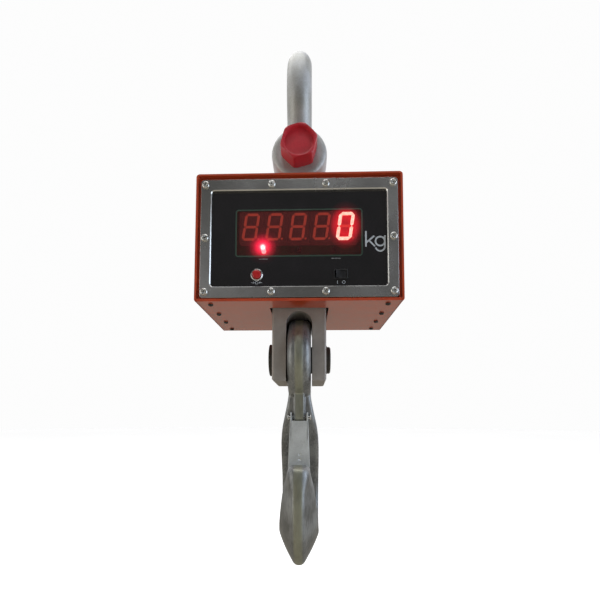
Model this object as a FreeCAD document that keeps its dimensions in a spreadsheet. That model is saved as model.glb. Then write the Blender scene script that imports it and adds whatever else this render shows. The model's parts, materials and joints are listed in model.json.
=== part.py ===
"""Hanging crane scale: bow shackle, load cell, sheet-steel case with LED display, fork, eye hook.

Millimetres. +Z is up, -Y is the display side and +X is to the right of a reader of the display.
The origin is where the crane's hook bears on the inside of the shackle's crown.
"""
import FreeCAD, Part
import math
import os
import re
import Sketcher

doc = FreeCAD.newDocument("crane_scale")

# ---------------------------------------------------------------- driving sizes
SIZES = {
    # bow shackle, bolt, nut and washers
    "rod_diameter": 28, "bow_inside": 76, "pin_drop": 113.5, "jaw_gap": 44,
    "ear_diameter": 62, "ear_thickness": 28, "leg_straight": 16,
    "bolt_diameter": 24, "bolt_flats": 36,
    "bolt_head_tall": 17, "head_turn": -15, "dish_diameter": 32, "dish_deep": 4,
    "nut_tall": 19, "bolt_tail": 10, "split_pin_diameter": 4, "split_pin_long": 34,
    "washer_diameter": 50, "washer_thickness": 2.7,
    # clearances
    "free_gap": 0.3, "fit_play": 0.04, "hole_play": 0.1,
    # load cell
    "cell_wide": 57, "bush_wall": 3, "gauge_bore": 20, "gauge_drop": 88, "gauge_pocket_tall": 30,
    "gauge_pocket_wide": 26, "gauge_pocket_deep": 6, "gauge_cover_thick": 1.5,
    "bracket_wide": 30, "bracket_long": 28, "bracket_hole": 16, "lead_diameter": 4,
    "lead_out": 22, "lead_bend": 12, "ribbon_wide": 30, "ribbon_up": 36,
    # fork under the case
    "fork_arm": 15.6, "fork_deep": 73, "eye_side_gap": 1.35, "fork_rise": 70.3, "fork_drop": 28.1,
    "fork_corner": 2.5, "stud_diameter": 30, "stud_tall": 32, "lock_pin_diameter": 6,
    # hook pin
    "hook_pin_drop": 225.5, "hook_pin_diameter": 32, "pin_head_diameter": 38,
    "pin_head_thick": 6, "circlip_thick": 1.5, "circlip_ring": 3, "groove_deep": 1.5,
    # case
    "box_wide": 220, "box_deep": 125, "box_tall": 140.3, "box_drop": 33.7, "sheet": 2,
    "bend": 3.7, "flange_wide": 18, "plate_lip": 1, "hem_tall": 4, "fork_gap": 2.5,
    "seal_wall": 2.5, "seal_proud": 1.5,
    # bezel, gaskets, rear cover
    "bezel_recess": 1.5, "bezel_side_gap": 3, "bezel_end_gap": 3.4, "bezel_thick": 3,
    "bezel_corner": 2.5, "bezel_side_rail": 11.5, "bezel_end_rail": 12.35, "window_corner": 2.5,
    "window_bevel": 1, "gasket_thick": 1, "cover_thick": 2,
    "screw_side_inset": 5, "screw_inner": 28.8, "screw_end_inset": 6.15, "screw_diameter": 4,
    "screw_head": 8, "screw_head_tall": 2.6, "nut_flats": 7, "small_nut_tall": 3.2,
    "plate_screw_side_inset": 15, "plate_screw_end_inset": 10, "plate_screw_head": 5.4,
    "plate_screw_tall": 2.4, "plate_screw_diameter": 3,
    # front panel and display
    "panel_side_lap": 3.5, "panel_end_lap": 1.1, "panel_thick": 2.5, "display_wide": 134,
    "display_tall": 50.4, "display_up": 6.5, "filter_thick": 2, "digit_pitch": 25.4,
    "digit_wide": 25, "digit_tall": 34, "digit_deep": 8.3, "digits_up": 14.5,
    "digits_side": 0.9, "led_diameter": 5, "led_pitch": 38.5, "led_down": 9,
    "display_board_wide": 160, "display_board_tall": 56, "board_thick": 1.6,
    "main_board_wide": 170, "main_board_tall": 88, "board_space": 9.4,
    "standoff_diameter": 6, "standoff_side": 74, "standoff_rise": 21,
    # push button and power switch
    "control_inset": 13, "button_side": 44.5, "ring_diameter": 13.2, "ring_proud": 1.6,
    "barrel_diameter": 11, "barrel_deep": 15, "cap_diameter": 9.5, "cap_proud": 2.4,
    "cap_deep": 5, "button_travel": 1.5, "button_nut_flats": 14, "button_nut_tall": 2,
    "rocker_side": 44.5, "rocker_frame_wide": 14.6, "rocker_frame_tall": 10.3,
    "rocker_frame_proud": 1.2, "rocker_rim": 1.1, "rocker_body_deep": 15, "rocker_well": 7,
    "rocker_pin_diameter": 2, "rocker_tilt": 8, "rocker_wide": 10.6, "rocker_rise": 3,
    # battery and charging socket
    "battery_wide": 110, "battery_deep": 32, "battery_tall": 70, "battery_rear": 3,
    "tray_sheet": 1.5, "tray_foot": 12, "tray_shelf_up": 24, "socket_side": 80,
    "socket_diameter": 12, "socket_collar": 16, "socket_collar_thick": 2, "socket_deep": 16,
    # hook
    "eye_radius": 48.7, "eye_thick": 26.5, "bowl_inside": 62, "bowl_drop": 165,
    "hook_tip_rise": 45.3, "bowl_depth": 40.3,
    # safety latch
    "latch_forward": 18.5, "latch_drop": 69, "latch_long": 68.5, "latch_sheet": 1.6,
    "latch_top_wide": 20, "latch_end_wide": 25.5, "latch_lean": 2.4, "latch_front": 9,
    "latch_web_top": 4, "latch_ear_rise": 6,
    "latch_back": 3, "latch_flange_tall": 26, "latch_flange_taper": 8,
    "latch_pin_diameter": 5, "latch_pin_long": 27, "lug_thick": 11.3, "lug_wall": 4,
    "lug_rise": 30, "spring_wire": 1.2, "spring_turns": 2,
}

# Places worked out from the sizes above, each on one line.
PLACES = {
    "fork_slot": "eye_thick + 2 * eye_side_gap",
    "fork_wide": "fork_slot + 2 * fork_arm",
    "bezel_wide": "box_wide - 2 * sheet - 2 * bezel_side_gap",
    "bezel_tall": "box_tall - 2 * sheet - 2 * bezel_end_gap",
    "window_wide": "bezel_wide - 2 * bezel_side_rail",
    "window_tall": "bezel_tall - 2 * bezel_end_rail",
    "screw_side": "bezel_wide / 2 - screw_side_inset",
    "screw_up": "bezel_tall / 2 - screw_end_inset",
    "plate_screw_side": "box_wide / 2 - plate_screw_side_inset",
    "plate_screw_row": "box_deep - 2 * plate_screw_end_inset",
    "panel_wide": "window_wide + 2 * panel_side_lap",
    "panel_tall": "window_tall + 2 * panel_end_lap",
    "control_down": "window_tall / 2 - control_inset",
    "pin_z": "-pin_drop",
    "bow_radius": "bow_inside / 2 + rod_diameter / 2",
    "ear_out": "jaw_gap / 2 + ear_thickness",
    "ear_mid": "jaw_gap / 2 + ear_thickness / 2",
    "cell_deep": "jaw_gap - 2 * washer_thickness - 2 * free_gap",
    "box_top": "pin_z - box_drop",
    "box_bottom": "box_top - box_tall",
    "box_mid": "(box_top + box_bottom) / 2",
    "hook_pin_z": "pin_z - hook_pin_drop",
    "fork_bottom": "hook_pin_z - fork_drop",
    "fork_top": "hook_pin_z + fork_rise",
    "slot_spring": "hook_pin_z + eye_radius + free_gap * 3 - fork_slot / 2",
    "gauge_z": "pin_z - gauge_drop",
    "inner_wide": "box_wide - 2 * sheet",
    "plate_low": "box_bottom + plate_lip",
    "plate_high": "plate_low + sheet",
    "flange_high": "plate_high + sheet",
    "bezel_front": "-box_deep / 2 + bezel_recess",
    "bezel_back": "bezel_front + bezel_thick",
    "ring_front": "bezel_back + gasket_thick",
    "ring_back": "ring_front + sheet",
    "cover_front": "box_deep / 2 - cover_thick",
    "rear_ring_back": "cover_front - gasket_thick",
    "rear_ring_front": "rear_ring_back - sheet",
    "opening_wide": "panel_wide + 2 * free_gap",
    "opening_tall": "panel_tall + 2 * free_gap",
    "panel_back": "bezel_back + panel_thick",
    "digit_front": "bezel_back + filter_thick + hole_play",
    "board_front": "digit_front + digit_deep",
    "board_back": "board_front + board_thick",
    "main_front": "board_back + board_space",
    "main_back": "main_front + board_thick",
    "control_z": "box_mid - control_down",
    "barrel_back": "bezel_back + barrel_deep",
    "battery_back": "rear_ring_front - battery_rear",
    "battery_front": "battery_back - battery_deep",
    "shelf_low": "plate_high + tray_shelf_up",
    "shelf_high": "shelf_low + tray_sheet",
    "bowl_z": "hook_pin_z - bowl_drop",
    "latch_z": "hook_pin_z - latch_drop",
    "fork_half": "fork_wide / 2",
}

sheet = doc.addObject("Spreadsheet::Sheet", "Sizes")
for row, (alias, number) in enumerate(SIZES.items(), start=1):
    sheet.set(f"A{row}", alias)
    sheet.set(f"B{row}", str(number))
    sheet.setAlias(f"B{row}", alias)
for row, (alias, rule) in enumerate(PLACES.items(), start=1):
    sheet.set(f"D{row}", alias)
    sheet.set(f"E{row}", "=" + rule)
    sheet.setAlias(f"E{row}", alias)
doc.recompute()
NAMES = set(SIZES) | set(PLACES)


def size(alias):
    """The number in a cell of the sheet."""
    return float(sheet.get(alias))


def tied(rule):
    """A rule in the sheet's own names, spelled for an expression of another object."""
    def spell(match):
        word = match.group(0)
        return "Sizes." + word if word in NAMES else word
    return re.sub(r"[a-z][a-z_]*", spell, str(rule))


def tie(thing, **rules):
    """Bind properties of an object to rules."""
    for name, rule in rules.items():
        thing.setExpression(name, tied(rule))
    return thing


def settle(thing, x="0", y="0", z="0"):
    """Bind an object's place to rules."""
    for axis, rule in zip("xyz", (x, y, z)):
        thing.setExpression("Placement.Base." + axis, tied(rule))
    return thing


# ---------------------------------------------------------------- solids from primitives
TURN = {
    "X": FreeCAD.Rotation(FreeCAD.Vector(0, 1, 0), 90),
    "Y": FreeCAD.Rotation(FreeCAD.Vector(1, 0, 0), -90),
    "Z": FreeCAD.Rotation(),
}
NODES = []


def node(thing, label):
    """Name an object as one of the scale's own pieces."""
    thing.Label = label
    NODES.append(thing)
    return thing


def block(x, y, z):
    """A box from its low and high rules along each axis."""
    solid = doc.addObject("Part::Box", "block")
    for name, (low, high) in zip(("Length", "Width", "Height"), (x, y, z)):
        solid.setExpression(name, tied(f"({high}) - ({low})"))
    return settle(solid, x[0], y[0], z[0])


def mid_block(wide, y, z):
    """A box that is centred in X."""
    return block((f"-({wide}) / 2", f"({wide}) / 2"), y, z)


def lay(solid, axis, low, across):
    """Turn a primitive from Z onto an axis, and place its foot."""
    solid.Placement = FreeCAD.Placement(FreeCAD.Vector(), TURN[axis])
    one, two = across
    places = {"X": (low, one, two), "Y": (one, low, two), "Z": (one, two, low)}
    return settle(solid, *places[axis])


def rod(axis, radius, low, high, across=("0", "0")):
    """A cylinder along an axis from low to high."""
    solid = doc.addObject("Part::Cylinder", "rod")
    tie(solid, Radius=radius, Height=f"({high}) - ({low})")
    return lay(solid, axis, low, across)


def hexagon(axis, flats, low, high, across=("0", "0")):
    """A hexagonal prism along an axis from low to high."""
    solid = doc.addObject("Part::Prism", "hexagon")
    solid.Polygon = 6
    tie(solid, Circumradius=f"({flats}) / sqrt(3)", Height=f"({high}) - ({low})")
    return lay(solid, axis, low, across)


def ring(axis, large, small, at, across=("0", "0")):
    """A torus about an axis."""
    solid = doc.addObject("Part::Torus", "ring")
    tie(solid, Radius1=large, Radius2=small)
    return lay(solid, axis, at, across)


def join(*solids):
    """Several touching solids as one."""
    if len(solids) == 1:
        return solids[0]
    whole = doc.addObject("Part::MultiFuse", "whole")
    whole.Shapes = list(solids)
    whole.Refine = True
    return whole


def cut(base, *tools):
    """A solid less others."""
    left = doc.addObject("Part::Cut", "left")
    left.Base = base
    left.Tool = join(*tools)
    left.Refine = True
    return left


def gather(solids):
    """Separate solids in one node."""
    group = doc.addObject("Part::Compound", "group")
    group.Links = list(solids)
    return group


def soften(base, radius, wanted, kind="Part::Fillet"):
    """Round or bevel the edges of a solid that the test wants."""
    doc.recompute()
    softened = doc.addObject(kind, "softened")
    softened.Base = base
    amount = size(radius)
    picked = [i for i, edge in enumerate(base.Shape.Edges, start=1) if wanted(edge)]
    softened.Edges = [(i, amount, amount) for i in picked]
    return softened


def runs_along(edge, axis):
    """Whether an edge is straight and parallel to an axis."""
    return edge.Curve.TypeId == "Part::GeomLine" and abs(edge.Curve.Direction.dot(axis)) > 0.999


# ---------------------------------------------------------------- solids from sketches
def new_body():
    return doc.addObject("PartDesign::Body", "Body")


def new_sketch(body, plane):
    """A sketch on one of the body's own origin planes."""
    face = next(f for f in body.Origin.OriginFeatures if f.Role == plane)
    sketch = body.newObject("Sketcher::SketchObject", "Sketch")
    sketch.AttachmentSupport = [(face, "")]
    sketch.MapMode = "FlatFace"
    return sketch


def rule_constraint(sketch, kind, *place, rule):
    """Add a dimension that follows a rule; its first value only has to be near."""
    index = sketch.addConstraint(Sketcher.Constraint(kind, *place))
    sketch.setExpression(f"Constraints[{index}]", tied(rule))


def number(rule):
    """The value that a rule has now."""
    doc.recompute()
    probe = doc.addObject("Part::Box", "probe")
    value = probe.evalExpression(tied(rule))
    doc.removeObject(probe.Name)
    return float(value)


def draw_round_rectangle(sketch, wide, tall, corner):
    """A rectangle with round corners, centred on the sketch's origin."""
    half_w, half_t, r = number(wide) / 2, number(tall) / 2, number(corner)
    up = FreeCAD.Vector(0, 0, 1)
    spots = [(half_w - r, half_t - r), (r - half_w, half_t - r),
             (r - half_w, r - half_t), (half_w - r, r - half_t)]
    arcs = []
    for quarter, (x, y) in enumerate(spots):
        circle = Part.Circle(FreeCAD.Vector(x, y, 0), up, r)
        start = quarter * math.pi / 2
        arcs.append(sketch.addGeometry(Part.ArcOfCircle(circle, start, start + math.pi / 2), False))
    lines = []
    for quarter in range(4):
        start = sketch.getPoint(arcs[quarter], 2)
        end = sketch.getPoint(arcs[(quarter + 1) % 4], 1)
        lines.append(sketch.addGeometry(Part.LineSegment(start, end), False))
    for quarter in range(4):
        following = arcs[(quarter + 1) % 4]
        sketch.addConstraint(Sketcher.Constraint("Tangent", arcs[quarter], 2, lines[quarter], 1))
        sketch.addConstraint(Sketcher.Constraint("Tangent", lines[quarter], 2, following, 1))
    sketch.addConstraint(Sketcher.Constraint("Symmetric", lines[0], 1, lines[0], 2, -2))
    sketch.addConstraint(Sketcher.Constraint("Symmetric", lines[1], 1, lines[1], 2, -1))
    for arc in arcs[1:]:
        sketch.addConstraint(Sketcher.Constraint("Equal", arcs[0], arc))
    rule_constraint(sketch, "Radius", arcs[0], r, rule=corner)
    rule_constraint(sketch, "DistanceX", lines[1], 1, lines[3], 1, 2 * half_w, rule=wide)
    rule_constraint(sketch, "DistanceY", lines[2], 1, lines[0], 1, 2 * half_t, rule=tall)


def draw_outline(sketch, points):
    """A closed run of straight lines through points that are given as rules."""
    spots = [FreeCAD.Vector(number(x), number(y), 0) for x, y in points]
    lines = []
    for here, there in zip(spots, spots[1:] + spots[:1]):
        lines.append(sketch.addGeometry(Part.LineSegment(here, there), False))
    for line, following in zip(lines, lines[1:] + lines[:1]):
        sketch.addConstraint(Sketcher.Constraint("Coincident", line, 2, following, 1))
    for line, spot, (x, y) in zip(lines, spots, points):
        rule_constraint(sketch, "DistanceX", -1, 1, line, 1, spot.x, rule=x)
        rule_constraint(sketch, "DistanceY", -1, 1, line, 1, spot.y, rule=y)


def draw_circle(sketch, radius, x="0", y="0"):
    """A circle at a place given as rules."""
    spot = FreeCAD.Vector(number(x), number(y), 0)
    circle = Part.Circle(spot, FreeCAD.Vector(0, 0, 1), number(radius))
    index = sketch.addGeometry(circle, False)
    rule_constraint(sketch, "Radius", index, number(radius), rule=radius)
    rule_constraint(sketch, "DistanceX", -1, 1, index, 3, spot.x, rule=x)
    rule_constraint(sketch, "DistanceY", -1, 1, index, 3, spot.y, rule=y)


def pad(body, sketch, length, both_ways=False):
    feature = body.newObject("PartDesign::Pad", "Pad")
    feature.Profile = sketch
    tie(feature, Length=length)
    feature.Midplane = both_ways
    body.Tip = feature
    return feature


def pocket(body, sketch):
    """Cut a sketch right through, both ways."""
    feature = body.newObject("PartDesign::Pocket", "Pocket")
    feature.Profile = sketch
    feature.Type = "ThroughAll"
    feature.Midplane = True
    body.Tip = feature
    return feature


def round_plate(wide, tall, corner, front, back, x="0", z="box_mid"):
    """An upright plate with round corners, from its front to its back."""
    body = new_body()
    sketch = new_sketch(body, "XZ_Plane")
    draw_round_rectangle(sketch, wide, tall, corner)
    pad(body, sketch, f"({back}) - ({front})")
    return settle(body, x, back, z)


# ---------------------------------------------------------------- bow shackle
def make_bow():
    """One rod bent to a bow, with a flat eye forged on each end."""
    body = new_body()
    radius, drop, out = size("bow_radius"), size("pin_drop"), size("ear_mid")
    inside, straight = size("bow_inside") / 2, size("leg_straight")
    fall = drop - straight - inside
    leg_bend = (out ** 2 + fall ** 2 - radius ** 2) / (2 * (radius - out))
    tangent = math.atan2(-fall, out + leg_bend)
    up = FreeCAD.Vector(0, 0, 1)
    path = new_sketch(body, "YZ_Plane")
    crown = Part.Circle(FreeCAD.Vector(0, -inside, 0), up, radius)
    arc = path.addGeometry(Part.ArcOfCircle(crown, tangent, math.pi / 2), False)
    reverse = Part.Circle(FreeCAD.Vector(out + leg_bend, -inside - fall, 0), up, leg_bend)
    bend = path.addGeometry(Part.ArcOfCircle(reverse, math.pi + tangent, math.pi), False)
    leg = path.addGeometry(Part.LineSegment(FreeCAD.Vector(out, straight - drop, 0),
                                            FreeCAD.Vector(out, -drop, 0)), False)
    path.addConstraint(Sketcher.Constraint("Tangent", arc, 1, bend, 1))
    path.addConstraint(Sketcher.Constraint("Tangent", bend, 2, leg, 1))
    path.addConstraint(Sketcher.Constraint("PointOnObject", arc, 3, -2))
    path.addConstraint(Sketcher.Constraint("PointOnObject", arc, 2, -2))
    path.addConstraint(Sketcher.Constraint("Vertical", leg))
    rule_constraint(path, "DistanceY", arc, 3, -1, 1, inside, rule="bow_inside / 2")
    rule_constraint(path, "Radius", arc, radius, rule="bow_radius")
    rule_constraint(path, "DistanceX", -1, 1, leg, 2, out, rule="ear_mid")
    rule_constraint(path, "DistanceY", leg, 2, -1, 1, drop, rule="pin_drop")
    rule_constraint(path, "DistanceY", leg, 2, leg, 1, straight, rule="leg_straight")
    section = new_sketch(body, "XZ_Plane")
    draw_circle(section, "rod_diameter / 2", "0", "rod_diameter / 2")
    half = body.newObject("PartDesign::AdditivePipe", "HalfBow")
    half.Profile = section
    half.Spine = (path, ["Edge1", "Edge2", "Edge3"])
    body.Tip = half
    face = new_sketch(body, "XZ_Plane")
    face.setExpression("AttachmentOffset.Base.z", tied("-ear_out"))
    draw_circle(face, "ear_diameter / 2", "0", "pin_z")
    ear = pad(body, face, "ear_thickness")
    doc.recompute()
    mirror = body.newObject("PartDesign::Mirrored", "OtherHalf")
    mirror.Originals = [half, ear]
    middle = next(f for f in body.Origin.OriginFeatures if f.Role == "XZ_Plane")
    mirror.MirrorPlane = (middle, [""])
    body.Tip = mirror
    hole = new_sketch(body, "XZ_Plane")
    draw_circle(hole, "bolt_diameter / 2 + free_gap", "0", "pin_z")
    pocket(body, hole)
    axis = ("0", "pin_z")
    seat = "bolt_flats / sqrt(3) + free_gap"
    jaw = rod("Y", "ear_diameter / 2 + sheet", "-jaw_gap / 2", "jaw_gap / 2", axis)
    front_seat = rod("Y", seat, "-ear_out - ear_thickness", "-ear_out", axis)
    rear_seat = rod("Y", seat, "ear_out", "ear_out + ear_thickness", axis)
    node(cut(body, jaw, front_seat, rear_seat), "shackle_bow")


def make_bolt():
    """Hexagon-head bolt with a dished head, a nut and a split pin behind it."""
    axis = ("0", "pin_z")
    tail_end = "ear_out + nut_tall + bolt_tail"
    pin_y = "ear_out + nut_tall + bolt_tail / 2"
    head = hexagon("Y", "bolt_flats", "-ear_out - bolt_head_tall", "-ear_out", axis)
    head.Placement.Rotation = FreeCAD.Rotation(FreeCAD.Vector(0, 1, 0), size("head_turn")).multiply(
        TURN["Y"])
    settle(head, "0", "-ear_out - bolt_head_tall", "pin_z")
    corner = rod("Y", "bolt_flats / sqrt(3) - free_gap * 3", "-ear_out - bolt_head_tall",
                 "-ear_out", axis)
    rounded = doc.addObject("Part::MultiCommon", "rounded_head")
    rounded.Shapes = [head, corner]
    shank = rod("Y", "bolt_diameter / 2", "-ear_out", tail_end, axis)
    dish = rod("Y", "dish_diameter / 2", "-ear_out - bolt_head_tall",
               "-ear_out - bolt_head_tall + dish_deep", axis)
    hole = rod("Z", "split_pin_diameter / 2", "pin_z - bolt_diameter",
               "pin_z + bolt_diameter", ("0", pin_y))
    node(cut(join(rounded, shank), dish, hole), "shackle_bolt")
    nut = hexagon("Y", "bolt_flats", "ear_out", "ear_out + nut_tall", axis)
    bore = rod("Y", "bolt_diameter / 2 + fit_play", "ear_out", "ear_out + nut_tall", axis)
    node(cut(nut, bore), "shackle_nut")
    wire = rod("Z", "split_pin_diameter / 2", "pin_z - split_pin_long / 2",
               "pin_z + split_pin_long / 2", ("0", pin_y))
    loop = ring("Y", "split_pin_diameter", "split_pin_diameter / 2.5", pin_y,
                ("0", "pin_z + split_pin_long / 2 + split_pin_diameter"))
    node(join(wire, loop), "split_pin")


def make_washers():
    """A spacer washer inside each ear."""
    pair = []
    for low, high in (("-jaw_gap / 2", "-jaw_gap / 2 + washer_thickness"),
                      ("jaw_gap / 2 - washer_thickness", "jaw_gap / 2")):
        disc = rod("Y", "washer_diameter / 2", low, high, ("0", "pin_z"))
        bore = rod("Y", "bolt_diameter / 2 + free_gap", low, high, ("0", "pin_z"))
        pair.append(cut(disc, bore))
    node(gather(pair), "spacer_washers")


# ---------------------------------------------------------------- load path inside the case
def make_load_cell():
    """Steel tension cell: an eye above the case, gauge pockets inside, a socket for the fork."""
    deep = ("-cell_deep / 2", "cell_deep / 2")
    eye = rod("Y", "cell_wide / 2", *deep, ("0", "pin_z"))
    shank = mid_block("cell_wide", deep, ("fork_top", "pin_z"))
    bush_hole = rod("Y", "bolt_diameter / 2 + fit_play + bush_wall", *deep, ("0", "pin_z"))
    gauge_hole = rod("Y", "gauge_bore / 2", *deep, ("0", "gauge_z"))
    high = "gauge_z + gauge_pocket_tall / 2"
    low = "gauge_z - gauge_pocket_tall / 2"
    across = ("-gauge_pocket_wide / 2", "gauge_pocket_wide / 2")
    left = block(("-cell_wide / 2", "-cell_wide / 2 + gauge_pocket_deep"), across, (low, high))
    right = block(("cell_wide / 2 - gauge_pocket_deep", "cell_wide / 2"), across, (low, high))
    socket = rod("Z", "stud_diameter / 2 + fit_play", "fork_top", "fork_top + stud_tall")
    lock = rod("Y", "lock_pin_diameter / 2", *deep, ("0", "fork_top + stud_tall / 2"))
    node(cut(join(eye, shank), bush_hole, gauge_hole, left, right, socket, lock), "load_cell")
    sleeve = rod("Y", "bolt_diameter / 2 + fit_play + bush_wall", *deep, ("0", "pin_z"))
    bore = rod("Y", "bolt_diameter / 2 + fit_play", *deep, ("0", "pin_z"))
    node(cut(sleeve, bore), "lug_bush")
    covers = [
        block(("-cell_wide / 2", "-cell_wide / 2 + gauge_cover_thick"), across, (low, high)),
        block(("cell_wide / 2 - gauge_cover_thick", "cell_wide / 2"), across, (low, high)),
    ]
    node(gather(covers), "gauge_covers")


def make_fork():
    """Forged block with a round-topped slot for the hook's eye, and a stud into the load cell."""
    body = new_body()
    profile = new_sketch(body, "XZ_Plane")
    draw_outline(profile, [("-fork_half", "fork_bottom"), ("fork_half", "fork_bottom"),
                           ("fork_half", "fork_top"), ("-fork_half", "fork_top")])
    pad(body, profile, "fork_deep", both_ways=True)
    slot = new_sketch(body, "XZ_Plane")
    low = "fork_bottom - fork_slot"
    draw_outline(slot, [("-fork_slot / 2", low), ("fork_slot / 2", low),
                        ("fork_slot / 2", "slot_spring"), ("-fork_slot / 2", "slot_spring")])
    pocket(body, slot)
    arch = new_sketch(body, "XZ_Plane")
    draw_circle(arch, "fork_slot / 2", "0", "slot_spring")
    pocket(body, arch)
    upright = FreeCAD.Vector(0, 0, 1)
    level = FreeCAD.Vector(0, 1, 0)
    outside = size("fork_half") - 0.01
    lowest = size("fork_bottom") + 0.01

    def outer_edge(edge):
        middle = edge.CenterOfMass
        if runs_along(edge, upright):
            return abs(middle.x) > outside
        return runs_along(edge, level) and abs(middle.x) > outside and middle.z < lowest

    rounded = soften(body, "fork_corner", outer_edge)
    bore = rod("X", "hook_pin_diameter / 2 + fit_play", "-fork_half", "fork_half",
               ("0", "hook_pin_z"))
    drilled = cut(rounded, bore)
    stud = rod("Z", "stud_diameter / 2", "fork_top", "fork_top + stud_tall - free_gap")
    lock_hole = rod("Y", "lock_pin_diameter / 2", "-cell_deep / 2", "cell_deep / 2",
                    ("0", "fork_top + stud_tall / 2"))
    node(cut(join(drilled, stud), lock_hole), "fork_block")
    node(rod("Y", "lock_pin_diameter / 2", "-cell_deep / 2", "cell_deep / 2",
             ("0", "fork_top + stud_tall / 2")), "fork_lock_pin")


def make_hook_pin():
    """Headed pin through the fork, kept by a retaining ring in a groove."""
    axis = ("0", "hook_pin_z")
    end = "fork_half + pin_head_thick"
    ring_low = "fork_half + free_gap"
    ring_high = "fork_half + free_gap + circlip_thick"
    shank = rod("X", "hook_pin_diameter / 2", "-fork_half", end, axis)
    head = rod("X", "pin_head_diameter / 2", "-fork_half - pin_head_thick", "-fork_half", axis)
    band = cut(rod("X", "hook_pin_diameter", ring_low, ring_high, axis),
               rod("X", "hook_pin_diameter / 2 - groove_deep", ring_low, ring_high, axis))
    grooved = cut(join(shank, head), band)

    def end_circle(edge):
        return edge.CenterOfMass.x > size("fork_half") + size("pin_head_thick") - 0.01

    node(soften(grooved, "free_gap", end_circle, "Part::Chamfer"), "hook_pin")
    disc = rod("X", "hook_pin_diameter / 2 - groove_deep + circlip_ring", ring_low, ring_high, axis)
    bore = rod("X", "hook_pin_diameter / 2 - groove_deep", ring_low, ring_high, axis)
    mouth = block((ring_low, ring_high), ("-circlip_ring", "circlip_ring"),
                  ("hook_pin_z - hook_pin_diameter", "hook_pin_z"))
    node(cut(disc, bore, mouth), "pin_circlip")


# ---------------------------------------------------------------- case
def face_screw_places():
    """Where the screws of the bezel and of the rear cover are, from the middle of the face."""
    sides = [(x, z) for x in ("-screw_side", "screw_side") for z in ("-screw_up", "0", "screw_up")]
    inner = [(x, z) for x in ("-screw_inner", "screw_inner") for z in ("-screw_up", "screw_up")]
    return [(x, f"box_mid + {z}") for x, z in sides + inner]


def face_holes(low, high):
    """The screw holes through a sheet of the front or rear face."""
    return [rod("Y", "screw_diameter / 2 + hole_play", low, high, place)
            for place in face_screw_places()]


def plate_screw_places():
    """Four screws along each side of the bottom plate."""
    steps = [f"plate_screw_row * {step / 6}" for step in (-3, -1, 1, 3)]
    return [(x, y) for x in ("-plate_screw_side", "plate_screw_side") for y in steps]


def bracket_screw_places():
    """Two screws through the top of the case on each side of the load cell."""
    return [(f"{sign}(cell_wide / 2 + bracket_hole)", y) for sign in ("-", "")
            for y in ("-bracket_wide / 4", "bracket_wide / 4")]


def make_shell():
    """Folded sheet: top and sides in one, with flanges for the bezel, rear cover and bottom."""
    body = new_body()
    outline = new_sketch(body, "XZ_Plane")
    draw_round_rectangle(outline, "box_wide", "box_tall", "bend")
    pad(body, outline, "box_deep", both_ways=True)
    hollow = new_sketch(body, "XZ_Plane")
    draw_round_rectangle(hollow, "inner_wide", "box_tall - 2 * sheet", "bend - sheet")
    pocket(body, hollow)
    settle(body, "0", "0", "box_mid")
    whole_depth = ("-box_deep / 2 - sheet", "box_deep / 2 + sheet")
    floor = mid_block("inner_wide", whole_depth, ("box_bottom - sheet", "plate_high"))
    top_hole = mid_block("cell_wide + 2 * seal_wall",
                         ("-cell_deep / 2 - seal_wall", "cell_deep / 2 + seal_wall"),
                         ("box_top - 2 * sheet", "box_top + sheet"))
    pieces = [cut(body, floor, top_hole)]
    for low, high in (("-inner_wide / 2", "-inner_wide / 2 + flange_wide"),
                      ("inner_wide / 2 - flange_wide", "inner_wide / 2")):
        pieces.append(block((low, high), ("ring_front", "rear_ring_back"),
                            ("plate_high", "flange_high")))
    holes = []
    for low, high in (("ring_front", "ring_back"), ("rear_ring_front", "rear_ring_back")):
        frame = mid_block("inner_wide", (low, high), ("flange_high", "box_top - sheet"))
        opening = mid_block("opening_wide", (low, high),
                            ("box_mid - opening_tall / 2", "box_mid + opening_tall / 2"))
        pieces.append(cut(frame, opening))
        holes += face_holes(low, high)
    holes += [rod("Z", "plate_screw_diameter / 2 + hole_play", "plate_high", "flange_high", place)
              for place in plate_screw_places()]
    holes += [rod("Z", "screw_diameter / 2 + hole_play", "box_top - sheet", "box_top", place)
              for place in bracket_screw_places()]
    node(cut(join(*pieces), *holes), "housing_shell")


def make_brackets():
    """Two angle brackets that hang the case on the load cell, each with two screws on top."""
    across = ("-bracket_wide / 2", "bracket_wide / 2")
    cell, out = "cell_wide / 2", "cell_wide / 2 + bracket_long"
    under = "box_top - sheet"
    brackets = []
    for sign in ("-", ""):
        wall = (f"-({cell} + sheet)", f"-{cell}") if sign else (cell, f"{cell} + sheet")
        leg = (f"-({out})", f"-{cell}") if sign else (cell, out)
        upright = block(wall, across, (f"{under} - bracket_long - seal_proud", f"{under} - sheet"))
        level = block(leg, across, (f"{under} - 2 * sheet", f"{under} - sheet"))
        bearing = block((f"{sign}({cell} + bracket_hole) - bracket_hole / 2",
                         f"{sign}({cell} + bracket_hole) + bracket_hole / 2"),
                        across, (f"{under} - sheet", under))
        brackets.append(join(upright, level, bearing))
    holes = []
    screws = []
    for place in bracket_screw_places():
        holes.append(rod("Z", "screw_diameter / 2", f"{under} - 2 * sheet", under, place))
        head = rod("Z", "screw_head / 2", "box_top", "box_top + screw_head_tall", place)
        shank = rod("Z", "screw_diameter / 2", f"{under} - 3 * sheet", "box_top", place)
        screws.append(join(head, shank))
    node(cut(gather(brackets), *holes), "cell_brackets")
    node(gather(screws), "bracket_screws")


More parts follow.
